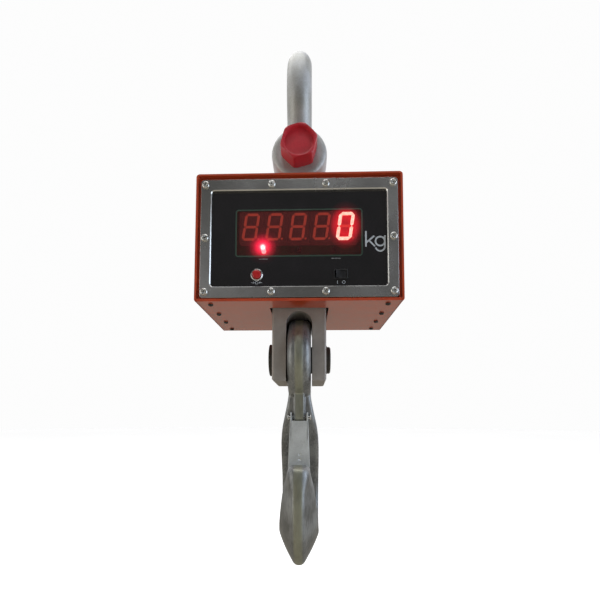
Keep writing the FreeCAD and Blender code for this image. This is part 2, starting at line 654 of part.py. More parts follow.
def make_leads():
    """The load cell's lead to the main board, and the ribbon between the two boards."""
    start = FreeCAD.Vector(size("cell_wide") / 2, 0, size("gauge_z"))
    bend, out = size("lead_bend"), size("lead_out")
    turn_start = start + FreeCAD.Vector(out - bend, 0, 0)
    turn_end = start + FreeCAD.Vector(out, -bend, 0)
    slant = bend * math.sqrt(0.5)
    turn_middle = start + FreeCAD.Vector(out - bend + slant, slant - bend, 0)
    end = FreeCAD.Vector(turn_end.x, size("main_back") + size("lead_diameter"), start.z)
    route = Part.Wire([Part.LineSegment(start, turn_start).toShape(),
                       Part.Arc(turn_start, turn_middle, turn_end).toShape(),
                       Part.LineSegment(turn_end, end).toShape()])
    radius = size("lead_diameter") / 2
    mouth = Part.Wire(Part.makeCircle(radius, start, FreeCAD.Vector(1, 0, 0)))
    lead = doc.addObject("Part::Feature", "cell_lead")
    lead.Shape = route.makePipeShell([mouth], True, False)
    node(lead, "cell_lead")
    node(block(("cell_wide / 2 + lead_out - lead_diameter", "cell_wide / 2 + lead_out + lead_diameter"),
               ("main_back", "main_back + lead_diameter"),
               ("gauge_z - lead_diameter", "gauge_z + lead_diameter")), "lead_plug")
    node(mid_block("ribbon_wide", ("board_back", "main_front"),
                   ("box_mid + ribbon_up / 2", "box_mid + ribbon_up / 2 + sheet / 2")),
         "display_ribbon")


def make_seal():
    """Rubber collar where the load cell comes out of the top."""
    inner = ("cell_wide", ("-cell_deep / 2", "cell_deep / 2"))
    outer = ("cell_wide + 2 * seal_wall",
             ("-cell_deep / 2 - seal_wall", "cell_deep / 2 + seal_wall"))
    height = ("box_top - sheet", "box_top + seal_proud")
    node(cut(mid_block(*outer, height), mid_block(*inner, height)), "top_seal")


def make_bottom_plate():
    """Bottom plate with a turned-up hem at the front and rear and a cut-out for the fork."""
    wide = "inner_wide - 2 * free_gap"
    depth = ("-box_deep / 2", "box_deep / 2")
    plate = mid_block(wide, depth, ("plate_low", "plate_high"))
    front = mid_block(wide, ("-box_deep / 2", "-box_deep / 2 + sheet"),
                      ("plate_low", "plate_low + hem_tall - plate_lip"))
    rear = mid_block(wide, ("cover_front + free_gap", "box_deep / 2"),
                     ("plate_low", "plate_low + hem_tall - plate_lip"))
    opening = mid_block("fork_wide + 2 * fork_gap",
                        ("-fork_deep / 2 - fork_gap", "fork_deep / 2 + fork_gap"),
                        ("plate_low", "plate_high"))
    holes = [rod("Z", "plate_screw_diameter / 2 + hole_play", "plate_low", "plate_high", place)
             for place in plate_screw_places()]
    node(cut(join(plate, front, rear), opening, *holes), "bottom_plate")
    screws = []
    for place in plate_screw_places():
        head = rod("Z", "plate_screw_head / 2", "plate_low - plate_screw_tall", "plate_low", place)
        shank = rod("Z", "plate_screw_diameter / 2", "plate_low", "flange_high - hole_play", place)
        screws.append(join(head, shank))
    node(gather(screws), "bottom_screws")


def make_bezel():
    """Recessed stainless frame, its gasket, its screws and the nuts behind them."""
    plate = round_plate("bezel_wide", "bezel_tall", "bezel_corner", "bezel_front", "bezel_back")
    window = round_plate("window_wide", "window_tall", "window_corner", "bezel_front - 1",
                         "bezel_back + 1")
    framed = cut(plate, window)
    half_wide, half_tall = size("window_wide") / 2, size("window_tall") / 2
    middle, front = size("box_mid"), size("bezel_front") + 0.01

    def window_edge(edge):
        spot = edge.CenterOfMass
        inside = abs(spot.x) < half_wide + 0.01 and abs(spot.z - middle) < half_tall + 0.01
        return inside and edge.BoundBox.YMax < front

    bevelled = soften(framed, "window_bevel", window_edge, "Part::Chamfer")
    node(cut(bevelled, *face_holes("bezel_front", "bezel_back")), "front_bezel")
    gasket = cut(mid_block("bezel_wide", ("bezel_back", "ring_front"),
                           ("box_mid - bezel_tall / 2", "box_mid + bezel_tall / 2")),
                 mid_block("opening_wide", ("bezel_back", "ring_front"),
                           ("box_mid - opening_tall / 2", "box_mid + opening_tall / 2")),
                 *face_holes("bezel_back", "ring_front"))
    node(gasket, "bezel_gasket")
    screws = []
    nuts = []
    nut_back = "ring_back + small_nut_tall"
    for place in face_screw_places():
        head = rod("Y", "screw_head / 2", "bezel_front - screw_head_tall", "bezel_front", place)
        shank = rod("Y", "screw_diameter / 2", "bezel_front", nut_back, place)
        screws.append(join(head, shank))
        nuts.append(cut(hexagon("Y", "nut_flats", "ring_back", nut_back, place),
                        rod("Y", "screw_diameter / 2", "ring_back", nut_back, place)))
    node(gather(screws), "bezel_screws")
    node(gather(nuts), "bezel_nuts")


def make_rear_cover():
    """Flat rear cover, flush with the case, its gasket and its countersunk screws."""
    back = "box_deep / 2"
    plate = round_plate("bezel_wide", "bezel_tall", "bezel_corner", "cover_front", back)
    socket_hole = rod("Y", "socket_diameter / 2", "cover_front", back, ("socket_side", "control_z"))
    cones = []
    for x, z in face_screw_places():
        cone = doc.addObject("Part::Cone", "countersink")
        tie(cone, Radius1="screw_diameter / 2", Radius2="screw_head / 2",
            Height="cover_thick")
        cones.append(lay(cone, "Y", "cover_front", (x, z)))
    node(cut(plate, socket_hole, *cones), "rear_cover")
    depth = ("rear_ring_back", "cover_front")
    node(cut(mid_block("bezel_wide", depth,
                       ("box_mid - bezel_tall / 2", "box_mid + bezel_tall / 2")),
             mid_block("opening_wide", depth,
                       ("box_mid - opening_tall / 2", "box_mid + opening_tall / 2")),
             *face_holes(*depth)), "rear_gasket")
    screws = []
    for x, z in face_screw_places():
        head = doc.addObject("Part::Cone", "head")
        tie(head, Radius1="screw_diameter / 2", Radius2="screw_head / 2",
            Height="cover_thick")
        lay(head, "Y", "cover_front", (x, z))
        shank = rod("Y", "screw_diameter / 2", "rear_ring_front - small_nut_tall", "cover_front",
                    (x, z))
        screws.append(join(head, shank))
    node(gather(screws), "rear_screws")
    centre = ("socket_side", "control_z")
    barrel = rod("Y", "socket_diameter / 2", "box_deep / 2 - socket_deep", back, centre)
    flange = rod("Y", "socket_collar / 2", "cover_front - socket_collar_thick", "cover_front",
                 centre)
    bore = rod("Y", "socket_diameter / 4", "box_deep / 2 - socket_deep / 2", back, centre)
    node(cut(join(barrel, flange), bore), "charge_socket")


# ---------------------------------------------------------------- display and electronics
def make_panel():
    """Black front panel, the red window let into it, and the boards behind."""
    plate = round_plate("panel_wide", "panel_tall", "window_corner", "bezel_back", "panel_back")
    window = mid_block("display_wide", ("bezel_back", "panel_back"),
                       ("box_mid + display_up - display_tall / 2",
                        "box_mid + display_up + display_tall / 2"))
    button_hole = rod("Y", "barrel_diameter / 2", "bezel_back", "panel_back",
                      ("-button_side", "control_z"))
    half = "rocker_frame_wide / 2 - rocker_rim / 2"
    rise = "rocker_frame_tall / 2 - rocker_rim / 2"
    rocker_hole = block((f"rocker_side - ({half})", f"rocker_side + {half}"),
                        ("bezel_back", "panel_back"),
                        (f"control_z - ({rise})", f"control_z + {rise}"))
    node(cut(plate, window, button_hole, rocker_hole), "front_panel")
    node(mid_block("display_wide", ("bezel_back", "bezel_back + filter_thick"),
                   ("box_mid + display_up - display_tall / 2",
                    "box_mid + display_up + display_tall / 2")), "display_filter")
    node(mid_block("display_board_wide", ("board_front", "board_back"),
                   ("box_mid + digits_up - display_board_tall / 2 - led_down / 2",
                    "box_mid + digits_up + display_board_tall / 2 - led_down / 2")),
         "display_board")
    node(mid_block("main_board_wide", ("main_front", "main_back"),
                   ("box_mid - main_board_tall / 2", "box_mid + main_board_tall / 2")),
         "main_board")


def make_digits():
    """Five seven-segment modules in a row, and three indicator lamps under them."""
    for place in range(5):
        middle = f"-digits_side + digit_pitch * {place - 2}"
        digit = block((f"{middle} - digit_wide / 2", f"{middle} + digit_wide / 2"),
                      ("digit_front", "board_front"),
                      ("box_mid + digits_up - digit_tall / 2",
                       "box_mid + digits_up + digit_tall / 2"))
        node(digit, f"digit_{place + 1}")
    lamps = [rod("Y", "led_diameter / 2", "digit_front", "board_front",
                 (f"led_pitch * {step}", "box_mid - led_down")) for step in (-1, 0, 1)]
    node(gather(lamps), "indicator_lamps")


def make_board_parts():
    """Standoffs between panel and boards, and the parts soldered to the main board."""
    posts = []
    for x in ("-standoff_side", "standoff_side"):
        for z in ("box_mid + led_down - standoff_rise", "box_mid + led_down + standoff_rise"):
            for low, high in (("panel_back", "board_front"), ("board_back", "main_front")):
                posts.append(rod("Y", "standoff_diameter / 2", low, high, (x, z)))
    node(gather(posts), "board_standoffs")
    chip = 14
    parts = [block(("-7", "7"), ("main_back", "main_back + 2"), ("box_mid + 10", "box_mid + 24"))]
    for x in (-60, -48):
        parts.append(rod("Y", "5", "main_back", "main_back + 11", (str(x), "box_mid - 25")))
    for x in (40, 62):
        parts.append(block((str(x), str(x + chip)), ("main_back", "main_back + 7"),
                           ("box_mid - 34", "box_mid - 28")))
    node(gather(parts), "board_parts")


def make_button():
    """Zero button: a threaded barrel with a bright ring, a nut behind the panel, a moving cap."""
    centre = ("-button_side", "control_z")
    front = "bezel_back - ring_proud"
    flange = rod("Y", "ring_diameter / 2", front, "bezel_back", centre)
    barrel = rod("Y", "barrel_diameter / 2", "bezel_back", "barrel_back", centre)
    well = rod("Y", "cap_diameter / 2 + free_gap / 2", front,
               "bezel_back + cap_deep + button_travel", centre)
    node(cut(join(flange, barrel), well), "button_ring")
    nut = hexagon("Y", "button_nut_flats", "panel_back", "panel_back + button_nut_tall", centre)
    bore = rod("Y", "barrel_diameter / 2", "panel_back", "panel_back + button_nut_tall", centre)
    node(cut(nut, bore), "button_nut")
    cap = rod("Y", "cap_diameter / 2", f"{front} - cap_proud + ring_proud / 2",
              "bezel_back + cap_deep - free_gap", centre)
    face = size("bezel_back") - size("ring_proud") / 2 - size("cap_proud") + 0.01
    node(soften(cap, "free_gap", lambda edge: edge.BoundBox.YMax < face), "button_cap")


def make_rocker():
    """Power switch: a frame clipped into the panel, and a rocker that tilts about an upright pin."""
    half_wide, half_tall = "rocker_frame_wide / 2", "rocker_frame_tall / 2"
    back = "bezel_back + rocker_body_deep"
    flange = block((f"rocker_side - {half_wide}", f"rocker_side + {half_wide}"),
                   ("bezel_back - rocker_frame_proud", "bezel_back"),
                   (f"control_z - {half_tall}", f"control_z + {half_tall}"))
    inner_wide, inner_tall = f"{half_wide} - rocker_rim / 2", f"{half_tall} - rocker_rim / 2"
    case = block((f"rocker_side - ({inner_wide})", f"rocker_side + {inner_wide}"),
                 ("bezel_back", back), (f"control_z - ({inner_tall})", f"control_z + {inner_tall}"))
    well_wide, well_tall = f"{half_wide} - rocker_rim", f"{half_tall} - rocker_rim"
    well = block((f"rocker_side - ({well_wide})", f"rocker_side + {well_wide}"),
                 ("bezel_back - rocker_frame_proud", "bezel_back + rocker_well"),
                 (f"control_z - ({well_tall})", f"control_z + {well_tall}"))
    node(cut(join(flange, case), well), "rocker_frame")
    body = new_body()
    outline = new_sketch(body, "XY_Plane")
    tip = "rocker_wide / 2"
    draw_outline(outline, [(f"-{tip}", "-rocker_rise"), ("0", "-rocker_rise * 0.72"),
                           (tip, "-rocker_rise"), (f"{tip} * 0.7", "rocker_rise"),
                           (f"-{tip} * 0.7", "rocker_rise")])
    pad(body, outline, f"2 * ({well_tall} - free_gap)", both_ways=True)
    body.Placement.Rotation = FreeCAD.Rotation(FreeCAD.Vector(0, 0, 1), size("rocker_tilt"))
    settle(body, "rocker_side", "bezel_back + rocker_rise / 2", "control_z")
    reach = f"({well_tall} - free_gap / 3)"
    trunnion = rod("Z", "rocker_pin_diameter / 2", f"control_z - {reach}", f"control_z + {reach}",
                   ("rocker_side", "bezel_back + rocker_rise / 2"))
    node(join(body, trunnion), "rocker")


def make_battery():
    """Rechargeable pack behind the load cell, on a folded tray that stands on the bottom plate."""
    depth = ("battery_front", "battery_back")
    pack = mid_block("battery_wide", depth, ("shelf_high", "shelf_high + battery_tall"))
    node(pack, "battery_pack")
    half = "battery_wide / 2"
    shelf = mid_block("battery_wide + 2 * tray_sheet", depth, ("shelf_low", "shelf_high"))
    pieces = [shelf]
    high = "shelf_high + battery_tall / 2"
    for sign in ("-", ""):
        inner, outer = f"{sign}({half})", f"{sign}({half} + tray_sheet)"
        foot = f"{sign}({half} + tray_sheet + tray_foot)"
        wall = (outer, inner) if sign else (inner, outer)
        flat = (foot, outer) if sign else (outer, foot)
        pieces.append(block(wall, depth, ("plate_high", high)))
        pieces.append(block(flat, depth, ("plate_high", "plate_high + tray_sheet")))
    node(join(*pieces), "battery_tray")


# ---------------------------------------------------------------- hook and safety latch
SECTION_POINTS = 20
SQUARENESS = 0.6
TAPERED_SHARE = 0.75


def hook_section(y, z, outward, depth, inner, outer):
    """A closed rounded trapezoid across the hook, wide on the inside of the bend."""
    lean = math.radians(outward)
    points = []
    for step in range(SECTION_POINTS):
        turn = 2 * math.pi * (step + 0.5) / SECTION_POINTS
        along = math.copysign(abs(math.cos(turn)) ** SQUARENESS, math.cos(turn))
        taper = min(1, (1 - along) / 2 / TAPERED_SHARE)
        half = (outer + (inner - outer) * taper) / 2
        side = half * math.copysign(abs(math.sin(turn)) ** SQUARENESS, math.sin(turn))
        out = along * depth / 2
        points.append(FreeCAD.Vector(side, y + out * math.cos(lean), z + out * math.sin(lean)))
    curve = Part.BSplineCurve()
    curve.interpolate(points, PeriodicFlag=True)
    return Part.Wire(curve.toShape())


def hook_sections():
    """Sections from the eye down the back, round the bowl and up to the tip."""
    pin, bowl = size("hook_pin_z"), size("bowl_z")
    inside, depth, thick = size("bowl_inside") / 2, size("bowl_depth"), size("eye_thick")
    neck = pin - size("eye_radius")
    fall = (neck - bowl) / 128
    drawn = [
        (0, pin - 18, 0, 30, thick, thick),
        (0.5, neck + 6, 3, 33, thick, thick),
        (4, neck - 15 * fall, 16, 35, thick + 8, thick - 1),
        (9.5, neck - 29 * fall, 27, 35.5, thick + 14, thick - 3),
        (18.5, neck - 46 * fall, 34, 36, thick + 18.5, thick - 6),
        (34, neck - 71 * fall, 29, 37, thick + 20.5, thick - 10),
        (46.5, neck - 99 * fall, 13, 37.5, thick + 21, thick - 14),
    ]
    sections = [hook_section(*row) for row in drawn]
    for turn, share, inner, outer in ((0, 0.94, 47, 11.5), (-30, 0.97, 47.5, 10.5),
                                      (-60, 0.99, 47.7, 10), (-90, 1.0, 47.7, 9.6),
                                      (-120, 0.97, 47.5, 9.6), (-150, 0.9, 46, 9.8),
                                      (-180, 0.8, 43, 10.5)):
        reach = inside + depth * share / 2
        y = reach * math.cos(math.radians(turn))
        z = bowl + reach * math.sin(math.radians(turn))
        sections.append(hook_section(y, z, turn, depth * share, inner, outer))
    rise = size("hook_tip_rise")
    for share, centre, deep, inner, outer in ((0.55, 46.5, 30, 37, 14), (0.85, 46, 27, 29, 18),
                                              (0.965, 45.5, 21, 20, 14), (1.0, 45.5, 9, 8, 6)):
        y = -(centre - 31 + inside)
        sections.append(hook_section(y, bowl + rise * share, -180, deep, inner, outer))
    return sections


def make_hook():
    """Forged eye hook: a thick round-edged eye, the lofted hook, and a lug for the latch."""
    shank = doc.addObject("Part::Feature", "hook_shank")
    shank.Shape = Part.makeLoft(hook_sections(), True, False)
    axis = ("0", "hook_pin_z")
    half = "eye_thick / 2"
    disc = rod("X", f"eye_radius - {half}", f"-{half}", half, axis)
    rim = ring("X", f"eye_radius - {half}", half, "0", axis)
    bore = rod("X", "hook_pin_diameter / 2 + fit_play * 2", "-eye_thick", "eye_thick", axis)
    lug_half = "lug_thick / 2"
    place = ("-latch_forward", "latch_z")
    wall = "latch_pin_diameter / 2 + lug_wall"
    boss = rod("X", wall, f"-{lug_half}", lug_half, place)
    web = new_body()
    outline = new_sketch(web, "YZ_Plane")
    front = f"-latch_forward - ({wall})"
    draw_outline(outline, [("0", f"latch_z - ({wall})"), ("0", "latch_z + lug_rise"),
                           (front, "latch_z + lug_rise"), (front, "latch_z"),
                           ("-latch_forward", f"latch_z - ({wall})")])
    pad(web, outline, "lug_thick", both_ways=True)
    lug = join(boss, web)
    pin_hole = rod("X", "latch_pin_diameter / 2", "-eye_thick", "eye_thick", place)
    node(cut(join(disc, rim, shank, lug), bore, pin_hole), "hook")
    pin = rod("X", "latch_pin_diameter / 2", "-latch_pin_long / 2 + 1.5",
              "latch_pin_long / 2 - 1.5", place)
    heads = [rod("X", "latch_pin_diameter / 2 + 1.5", low, high, place)
             for low, high in (("-latch_pin_long / 2", "-latch_pin_long / 2 + 1.5"),
                               ("latch_pin_long / 2 - 1.5", "latch_pin_long / 2"))]
    node(join(pin, *heads), "latch_pin")


def make_latch():
    """Pressed channel that closes the hook's mouth from the inside, and its torsion spring."""
    body = new_body()
    face = new_sketch(body, "XZ_Plane")
    top, end = "latch_top_wide / 2", "latch_end_wide / 2"
    rise = "latch_ear_rise"
    draw_outline(face, [(f"-{end}", "-latch_long"), (end, "-latch_long"),
                        (top, "-latch_web_top"), (f"-{top}", "-latch_web_top")])
    pad(body, face, "latch_sheet")
    settle(body, "0", "-latch_front + latch_sheet", "0")
    walls = []
    for low in (f"-{top}", f"{top} - latch_sheet"):
        wall = new_body()
        side = new_sketch(wall, "YZ_Plane")
        draw_outline(side, [("-latch_front", "-latch_flange_tall"),
                            ("latch_back - latch_flange_taper", "-latch_flange_tall"),
                            ("latch_back", "0"), ("latch_back", rise), ("-latch_front", rise)])
        pad(wall, side, "latch_sheet")
        walls.append(settle(wall, low))
    hole = rod("X", "latch_pin_diameter / 2 + fit_play", "-latch_end_wide", "latch_end_wide")
    channel = cut(join(body, *walls), hole)
    channel.Placement.Rotation = FreeCAD.Rotation(FreeCAD.Vector(1, 0, 0), -size("latch_lean"))
    settle(channel, "0", "-latch_forward", "latch_z")
    node(channel, "latch")
    coils = []
    gap = "spring_wire * 1.02"
    start = "lug_thick / 2 + spring_wire / 2 + hole_play"
    for sign in ("-", ""):
        for turn in range(int(size("spring_turns"))):
            coils.append(ring("X", "latch_pin_diameter / 2 + spring_wire / 2 + hole_play",
                              "spring_wire / 2", f"{sign}({start} + {turn} * {gap})",
                              ("-latch_forward", "latch_z")))
    node(gather(coils), "latch_spring")


def main():
    """Make every piece, check it and write it out."""
    for make in (make_bow, make_bolt, make_washers, make_load_cell, make_fork, make_hook_pin,
                 make_shell, make_brackets, make_seal, make_bottom_plate, make_bezel, make_rear_cover,
                 make_panel, make_digits, make_board_parts, make_leads, make_button, make_rocker,
                 make_battery, make_hook, make_latch):
        make()
        doc.recompute()
    for thing in doc.Objects:
        if {"Invalid", "Error"} & set(thing.State):
            raise RuntimeError(f"{thing.Label} did not recompute: {thing.State}")
    for piece in NODES:
        if piece.Shape.isNull() or not piece.Shape.isValid() or not piece.Shape.Solids:
            raise RuntimeError(f"{piece.Label} has no sound shape")
    os.makedirs("parts", exist_ok=True)
    for piece in NODES:
        piece.Shape.exportStep(f"parts/{piece.Label}.step")
        print(f"{piece.Label}: {len(piece.Shape.Solids)} solid(s), {piece.Shape.Volume:.0f} mm3")


main()
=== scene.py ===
"""Looks of the hanging crane scale, in metres and in the CAD frame: +Z up, -Y towards the reader."""

import json
import math

import bmesh
import bpy
from mathutils import Matrix, Vector


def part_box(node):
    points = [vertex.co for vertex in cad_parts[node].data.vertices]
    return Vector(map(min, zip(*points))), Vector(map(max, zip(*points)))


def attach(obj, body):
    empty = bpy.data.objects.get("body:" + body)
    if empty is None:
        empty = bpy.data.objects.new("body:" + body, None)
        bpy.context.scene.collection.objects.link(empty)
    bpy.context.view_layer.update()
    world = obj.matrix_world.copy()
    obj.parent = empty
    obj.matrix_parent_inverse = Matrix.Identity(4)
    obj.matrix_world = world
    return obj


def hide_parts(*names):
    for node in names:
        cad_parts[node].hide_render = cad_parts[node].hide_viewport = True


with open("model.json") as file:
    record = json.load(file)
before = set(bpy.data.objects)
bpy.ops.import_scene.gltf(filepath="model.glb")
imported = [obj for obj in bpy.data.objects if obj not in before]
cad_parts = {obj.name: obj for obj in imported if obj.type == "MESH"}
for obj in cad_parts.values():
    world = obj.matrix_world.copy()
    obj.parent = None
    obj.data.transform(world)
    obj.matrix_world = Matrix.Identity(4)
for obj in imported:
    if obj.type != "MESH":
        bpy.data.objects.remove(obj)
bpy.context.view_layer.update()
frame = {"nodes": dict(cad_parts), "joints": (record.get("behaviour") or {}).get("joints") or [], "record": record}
MM = 0.001


# ------------ places from the frame
class Place:
    """Where a CAD node is: its lowest and highest corner, its middle and its size."""

    def __init__(self, node):
        self.low, self.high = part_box(node)
        self.mid = (self.low + self.high) / 2
        self.size = self.high - self.low


def joint_place(name):
    """The point that a joint turns about."""
    return Vector(next(j["pos_m"] for j in frame["joints"] if j["name"] == name))


# ------------ node materials
MATERIALS = {}
COLOUR_A, COLOUR_B, MIXED_COLOUR = 6, 7, 2  # the places of a Mix node's colours and of their mixture


def new_material(name):
    """A material kept under its name, its node tree and its main shader."""
    material = bpy.data.materials.new(name)
    material.use_nodes = True
    MATERIALS[name] = material
    tree = material.node_tree
    return material, tree, tree.nodes["Principled BSDF"]


def feed(tree, node, inputs):
    """Set inputs of a node: each is a value or the output of another node."""
    for key, value in inputs.items():
        if isinstance(value, bpy.types.NodeSocket):
            tree.links.new(value, node.inputs[key])
        else:
            node.inputs[key].default_value = value


def add(tree, kind, inputs, output=0, **settings):
    """Add a node and return one of its outputs."""
    node = tree.nodes.new("ShaderNode" + kind)
    for key, value in settings.items():
        setattr(node, key, value)
    feed(tree, node, inputs)
    return node.outputs[output]


def object_coordinates(tree, stretch=(1, 1, 1), shift=(0, 0, 0)):
    """Coordinates fixed to the object, squeezed along an axis to draw grain out, or shifted."""
    place = add(tree, "TexCoord", {}, "Object")
    return add(tree, "Mapping", {"Vector": place, "Location": shift, "Scale": stretch}, "Vector")


def noise(tree, vector, scale, detail=4.0, rough=0.55):
    return add(tree, "TexNoise", {"Vector": vector, "Scale": scale, "Detail": detail, "Roughness": rough},
               "Fac")


def ramp(tree, factor, *stops):
    """Colours at places along 0 to 1."""
    node = tree.nodes.new("ShaderNodeValToRGB")
    elements = node.color_ramp.elements
    while len(elements) < len(stops):
        elements.new(0.5)
    for element, (place, colour) in zip(elements, stops):
        element.position = place
        element.color = (*colour, 1.0)
    feed(tree, node, {"Fac": factor})
    return node.outputs["Color"]


def map_range(tree, value, low, high, to_low, to_high):
    """A number that runs from to_low to to_high while a value runs from low to high."""
    return add(tree, "MapRange", {"Value": value, "From Min": low, "From Max": high, "To Min": to_low,
                                  "To Max": to_high}, "Result")


def spread(tree, factor, low, high):
    """A number that varies from low to high over the middle of a noise."""
    return map_range(tree, factor, 0.3, 0.7, low, high)


def mix_colours(tree, first, second, share=1.0, blend="MIX"):
    return add(tree, "Mix", {"Factor": share, COLOUR_A: first, COLOUR_B: second}, MIXED_COLOUR,
               data_type="RGBA", blend_type=blend)


def bump(tree, shader, *heights):
    """Stack bumps on a shader: each is a height output, a strength and a depth in metres."""
    under = {}
    for height, strength, depth in heights:
        here = {"Height": height, "Strength": strength, "Distance": depth, **under}
        under = {"Normal": add(tree, "Bump", here, "Normal")}
    feed(tree, shader, under)


def surface(name, dark, light, metallic=0.0, rough=(0.35, 0.5), patch=60.0, grain=900.0,
            stretch=(1, 1, 1), grain_depth=0.02, wave_depth=0.0, coat=0.0, coat_rough=0.05,
            share=(0.35, 0.65)):
    """A material whose colour and gloss wander in patches, under a fine grain. Depths in millimetres."""
    material, tree, shader = new_material(name)
    plain = object_coordinates(tree)
    patches = noise(tree, plain, patch, 5.0)
    fine = noise(tree, object_coordinates(tree, stretch), grain, 3.0)
    broad = add(tree, "Math", {0: patches, 1: 0.65}, operation="MULTIPLY")
    both = add(tree, "Math", {0: fine, 1: 0.35, 2: broad}, operation="MULTIPLY_ADD")
    feed(tree, shader, {"Base Color": ramp(tree, both, (share[0], dark), (share[1], light)),
                        "Roughness": spread(tree, patches, *rough), "Metallic": metallic,
                        "Coat Weight": coat, "Coat Roughness": coat_rough})
    layers = [(fine, 0.5, grain_depth * MM)]
    if wave_depth:
        layers.append((noise(tree, plain, patch * 1.7, 2.0), 0.6, wave_depth * MM))
    bump(tree, shader, *layers)
    return material


def banded(material, colour, edge, fade):
    """Paint a reflection along the middle plane of the object: an olive band down the forging's flat back, mottled
    by a noise.
    """
    tree = material.node_tree
    base = tree.nodes["Principled BSDF"].inputs["Base Color"]
    under = base.links[0].from_socket
    across = add(tree, "SeparateXYZ", {0: object_coordinates(tree)}, "X")
    aside = add(tree, "Math", {0: across}, operation="ABSOLUTE")
    share = map_range(tree, aside, edge, edge + fade, 0.75, 0.0)
    # painted reflection: olive colour laid over the base colour, fading out away from the middle plane
    painted_reflection = ramp(tree, noise(tree, object_coordinates(tree, (1.5, 1.5, 0.5)), 120.0),
                (0.35, colour), (0.65, [c * 1.25 for c in colour]))
    tree.links.new(mix_colours(tree, under, painted_reflection, share), base)


def halo(tree, centre, reach, *stops):
    """Light that falls off around a point, as a colour."""
    place = object_coordinates(tree, [1 / r for r in reach], [-c / r for c, r in zip(centre, reach)])
    ball = add(tree, "TexGradient", {"Vector": place}, "Fac", gradient_type="SPHERICAL")
    return ramp(tree, ball, *stops)


def lit_surface(name, dark, light, rough, coat, glow, alpha=1.0):
    """Acrylic with a painted glow round the lamp and round the lit digit behind it, given off by its own surface.
    """
    tree, shader = new_material(name)[1:]
    plain = object_coordinates(tree)
    # painted glow: emission on the acrylic, brightest at the lamp and at the lit digit and fading away from them
    painted_lamp_glow = halo(tree, LAMP, (0.020, 0.05, 0.020), (0.0, (0, 0, 0)), (0.25, (0.02, 0.0, 0.002)),
                (0.48, (0.20, 0.002, 0.012)), (0.70, (0.75, 0.008, 0.045)), (0.82, (1.0, 0.05, 0.11)),
                (0.89, (1.0, 0.5, 0.52)), (0.93, (1.0, 0.95, 0.93)))
    painted_digit_glow = halo(tree, LIT, (0.021, 0.06, 0.027), (0.0, (0, 0, 0)), (0.22, (0.05, 0.0005, 0.002)),
               (0.40, (0.26, 0.002, 0.008)), (0.62, (0.46, 0.003, 0.011)), (0.85, (0.30, 0.002, 0.008)))
    feed(tree, shader, {"Base Color": ramp(tree, noise(tree, plain, 45.0, 3.0), (0.35, dark), (0.7, light)),
                        "Roughness": spread(tree, noise(tree, plain, 300.0), *rough),
                        "Coat Weight": coat, "Coat Roughness": 0.04, "Alpha": alpha,
                        "Emission Color": mix_colours(tree, painted_lamp_glow, painted_digit_glow, blend="ADD"),
                        "Emission Strength": glow})
    bump(tree, shader, (noise(tree, plain, 80.0, 2.0), 0.15, 0.02 * MM))


def painted_glow(material, colour, strength):
    """Painted glow: let a surface give off a little light of its own, though no lamp lights it."""
    tree = material.node_tree
    feed(tree, tree.nodes["Principled BSDF"], {"Emission Color": (*colour, 1.0),
                                               "Emission Strength": strength})


def glowing(name, dim, bright, strength):
    """A light-emitting surface, hottest in the middle of each patch."""
    tree, shader = new_material(name)[1:]
    cloud = noise(tree, object_coordinates(tree), 400.0, 2.0)
    colour = ramp(tree, cloud, (0.3, dim), (0.7, bright))
    feed(tree, shader, {"Base Color": colour, "Emission Color": colour, "Emission Strength": strength,
                        "Roughness": spread(tree, cloud, 0.3, 0.45)})


# ------------ mesh builders
def finish(name, shape, materials, body, nodes=(), sharp=35, flat=True):
    """Put a shape in the scene as a piece: shading, materials, body and the nodes it stands for.
    flat keeps large faces flat beside eased edges."""
    mesh = to_mesh(name, shape) if isinstance(shape, bmesh.types.BMesh) else shape
    for face in mesh.polygons:
        face.use_smooth = True
    mesh.set_sharp_from_angle(angle=math.radians(sharp))
    if flat:
        mesh = applied(mesh, ("WEIGHTED_NORMAL", {"mode": "FACE_AREA", "keep_sharp": True, "weight": 50}))
    piece = bpy.data.objects.new(name, mesh)
    bpy.context.collection.objects.link(piece)
    for material in materials.split():
        mesh.materials.append(MATERIALS[material])
    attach(piece, body)
    if nodes:
        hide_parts(*nodes)


def to_mesh(name, work):
    bmesh.ops.recalc_face_normals(work, faces=work.faces)
    mesh = bpy.data.meshes.new(name)
    work.to_mesh(mesh)
    work.free()
    return mesh


def skin(work, loops, closed=False, capped=True, index=0):
    """Faces between loops of the same number of points; ends closed off, or joined in a ring."""
    rows = [[work.verts.new(p) for p in loop] for loop in loops]
    pairs = list(zip(rows, rows[1:]))
    if closed:
        pairs.append((rows[-1], rows[0]))
    made = []
    for here, there in pairs:
        count = len(here)
        for i in range(count):
            j = (i + 1) % count
            made.append(work.faces.new((here[i], here[j], there[j], there[i])))
    if capped and not closed:
        made.append(work.faces.new(rows[0][::-1]))
        made.append(work.faces.new(rows[-1]))
    for face in made:
        face.material_index = index
    return made


def along(axis, at, across):
    """A point given along an axis and across it, in the order of the other two axes."""
    one, two = across
    return Vector({"X": (at, one, two), "Y": (one, at, two), "Z": (one, two, at)}[axis])


def spun(work, axis, centre, profile, steps=64, closed=False, index=0, shape=None):
    """A profile of (place along the axis, radius) turned about the axis.
    shape bends the circle into another outline: a function of angle and radius."""
    loops = []
    for at, radius in profile:
        loop = []
        for step in range(steps):
            turn = 2 * math.pi * step / steps
            reach = shape(turn, radius) if shape else radius
            across = (reach * math.cos(turn), reach * math.sin(turn))
            loop.append(Vector(centre) + along(axis, at, across))
        loops.append(loop)
    return skin(work, loops, closed=closed, index=index)


def round_rectangle(wide, tall, corner, steps=8):
    """Points around a rectangle with round corners, counter-clockwise."""
    points = []
    for quarter in range(4):
        x = (wide / 2 - corner) * (1 if quarter in (0, 3) else -1)
        z = (tall / 2 - corner) * (1 if quarter in (0, 1) else -1)
        for step in range(steps + 1):
            turn = math.pi / 2 * (quarter + step / steps)
            points.append((x + corner * math.cos(turn), z + corner * math.sin(turn)))
    return points


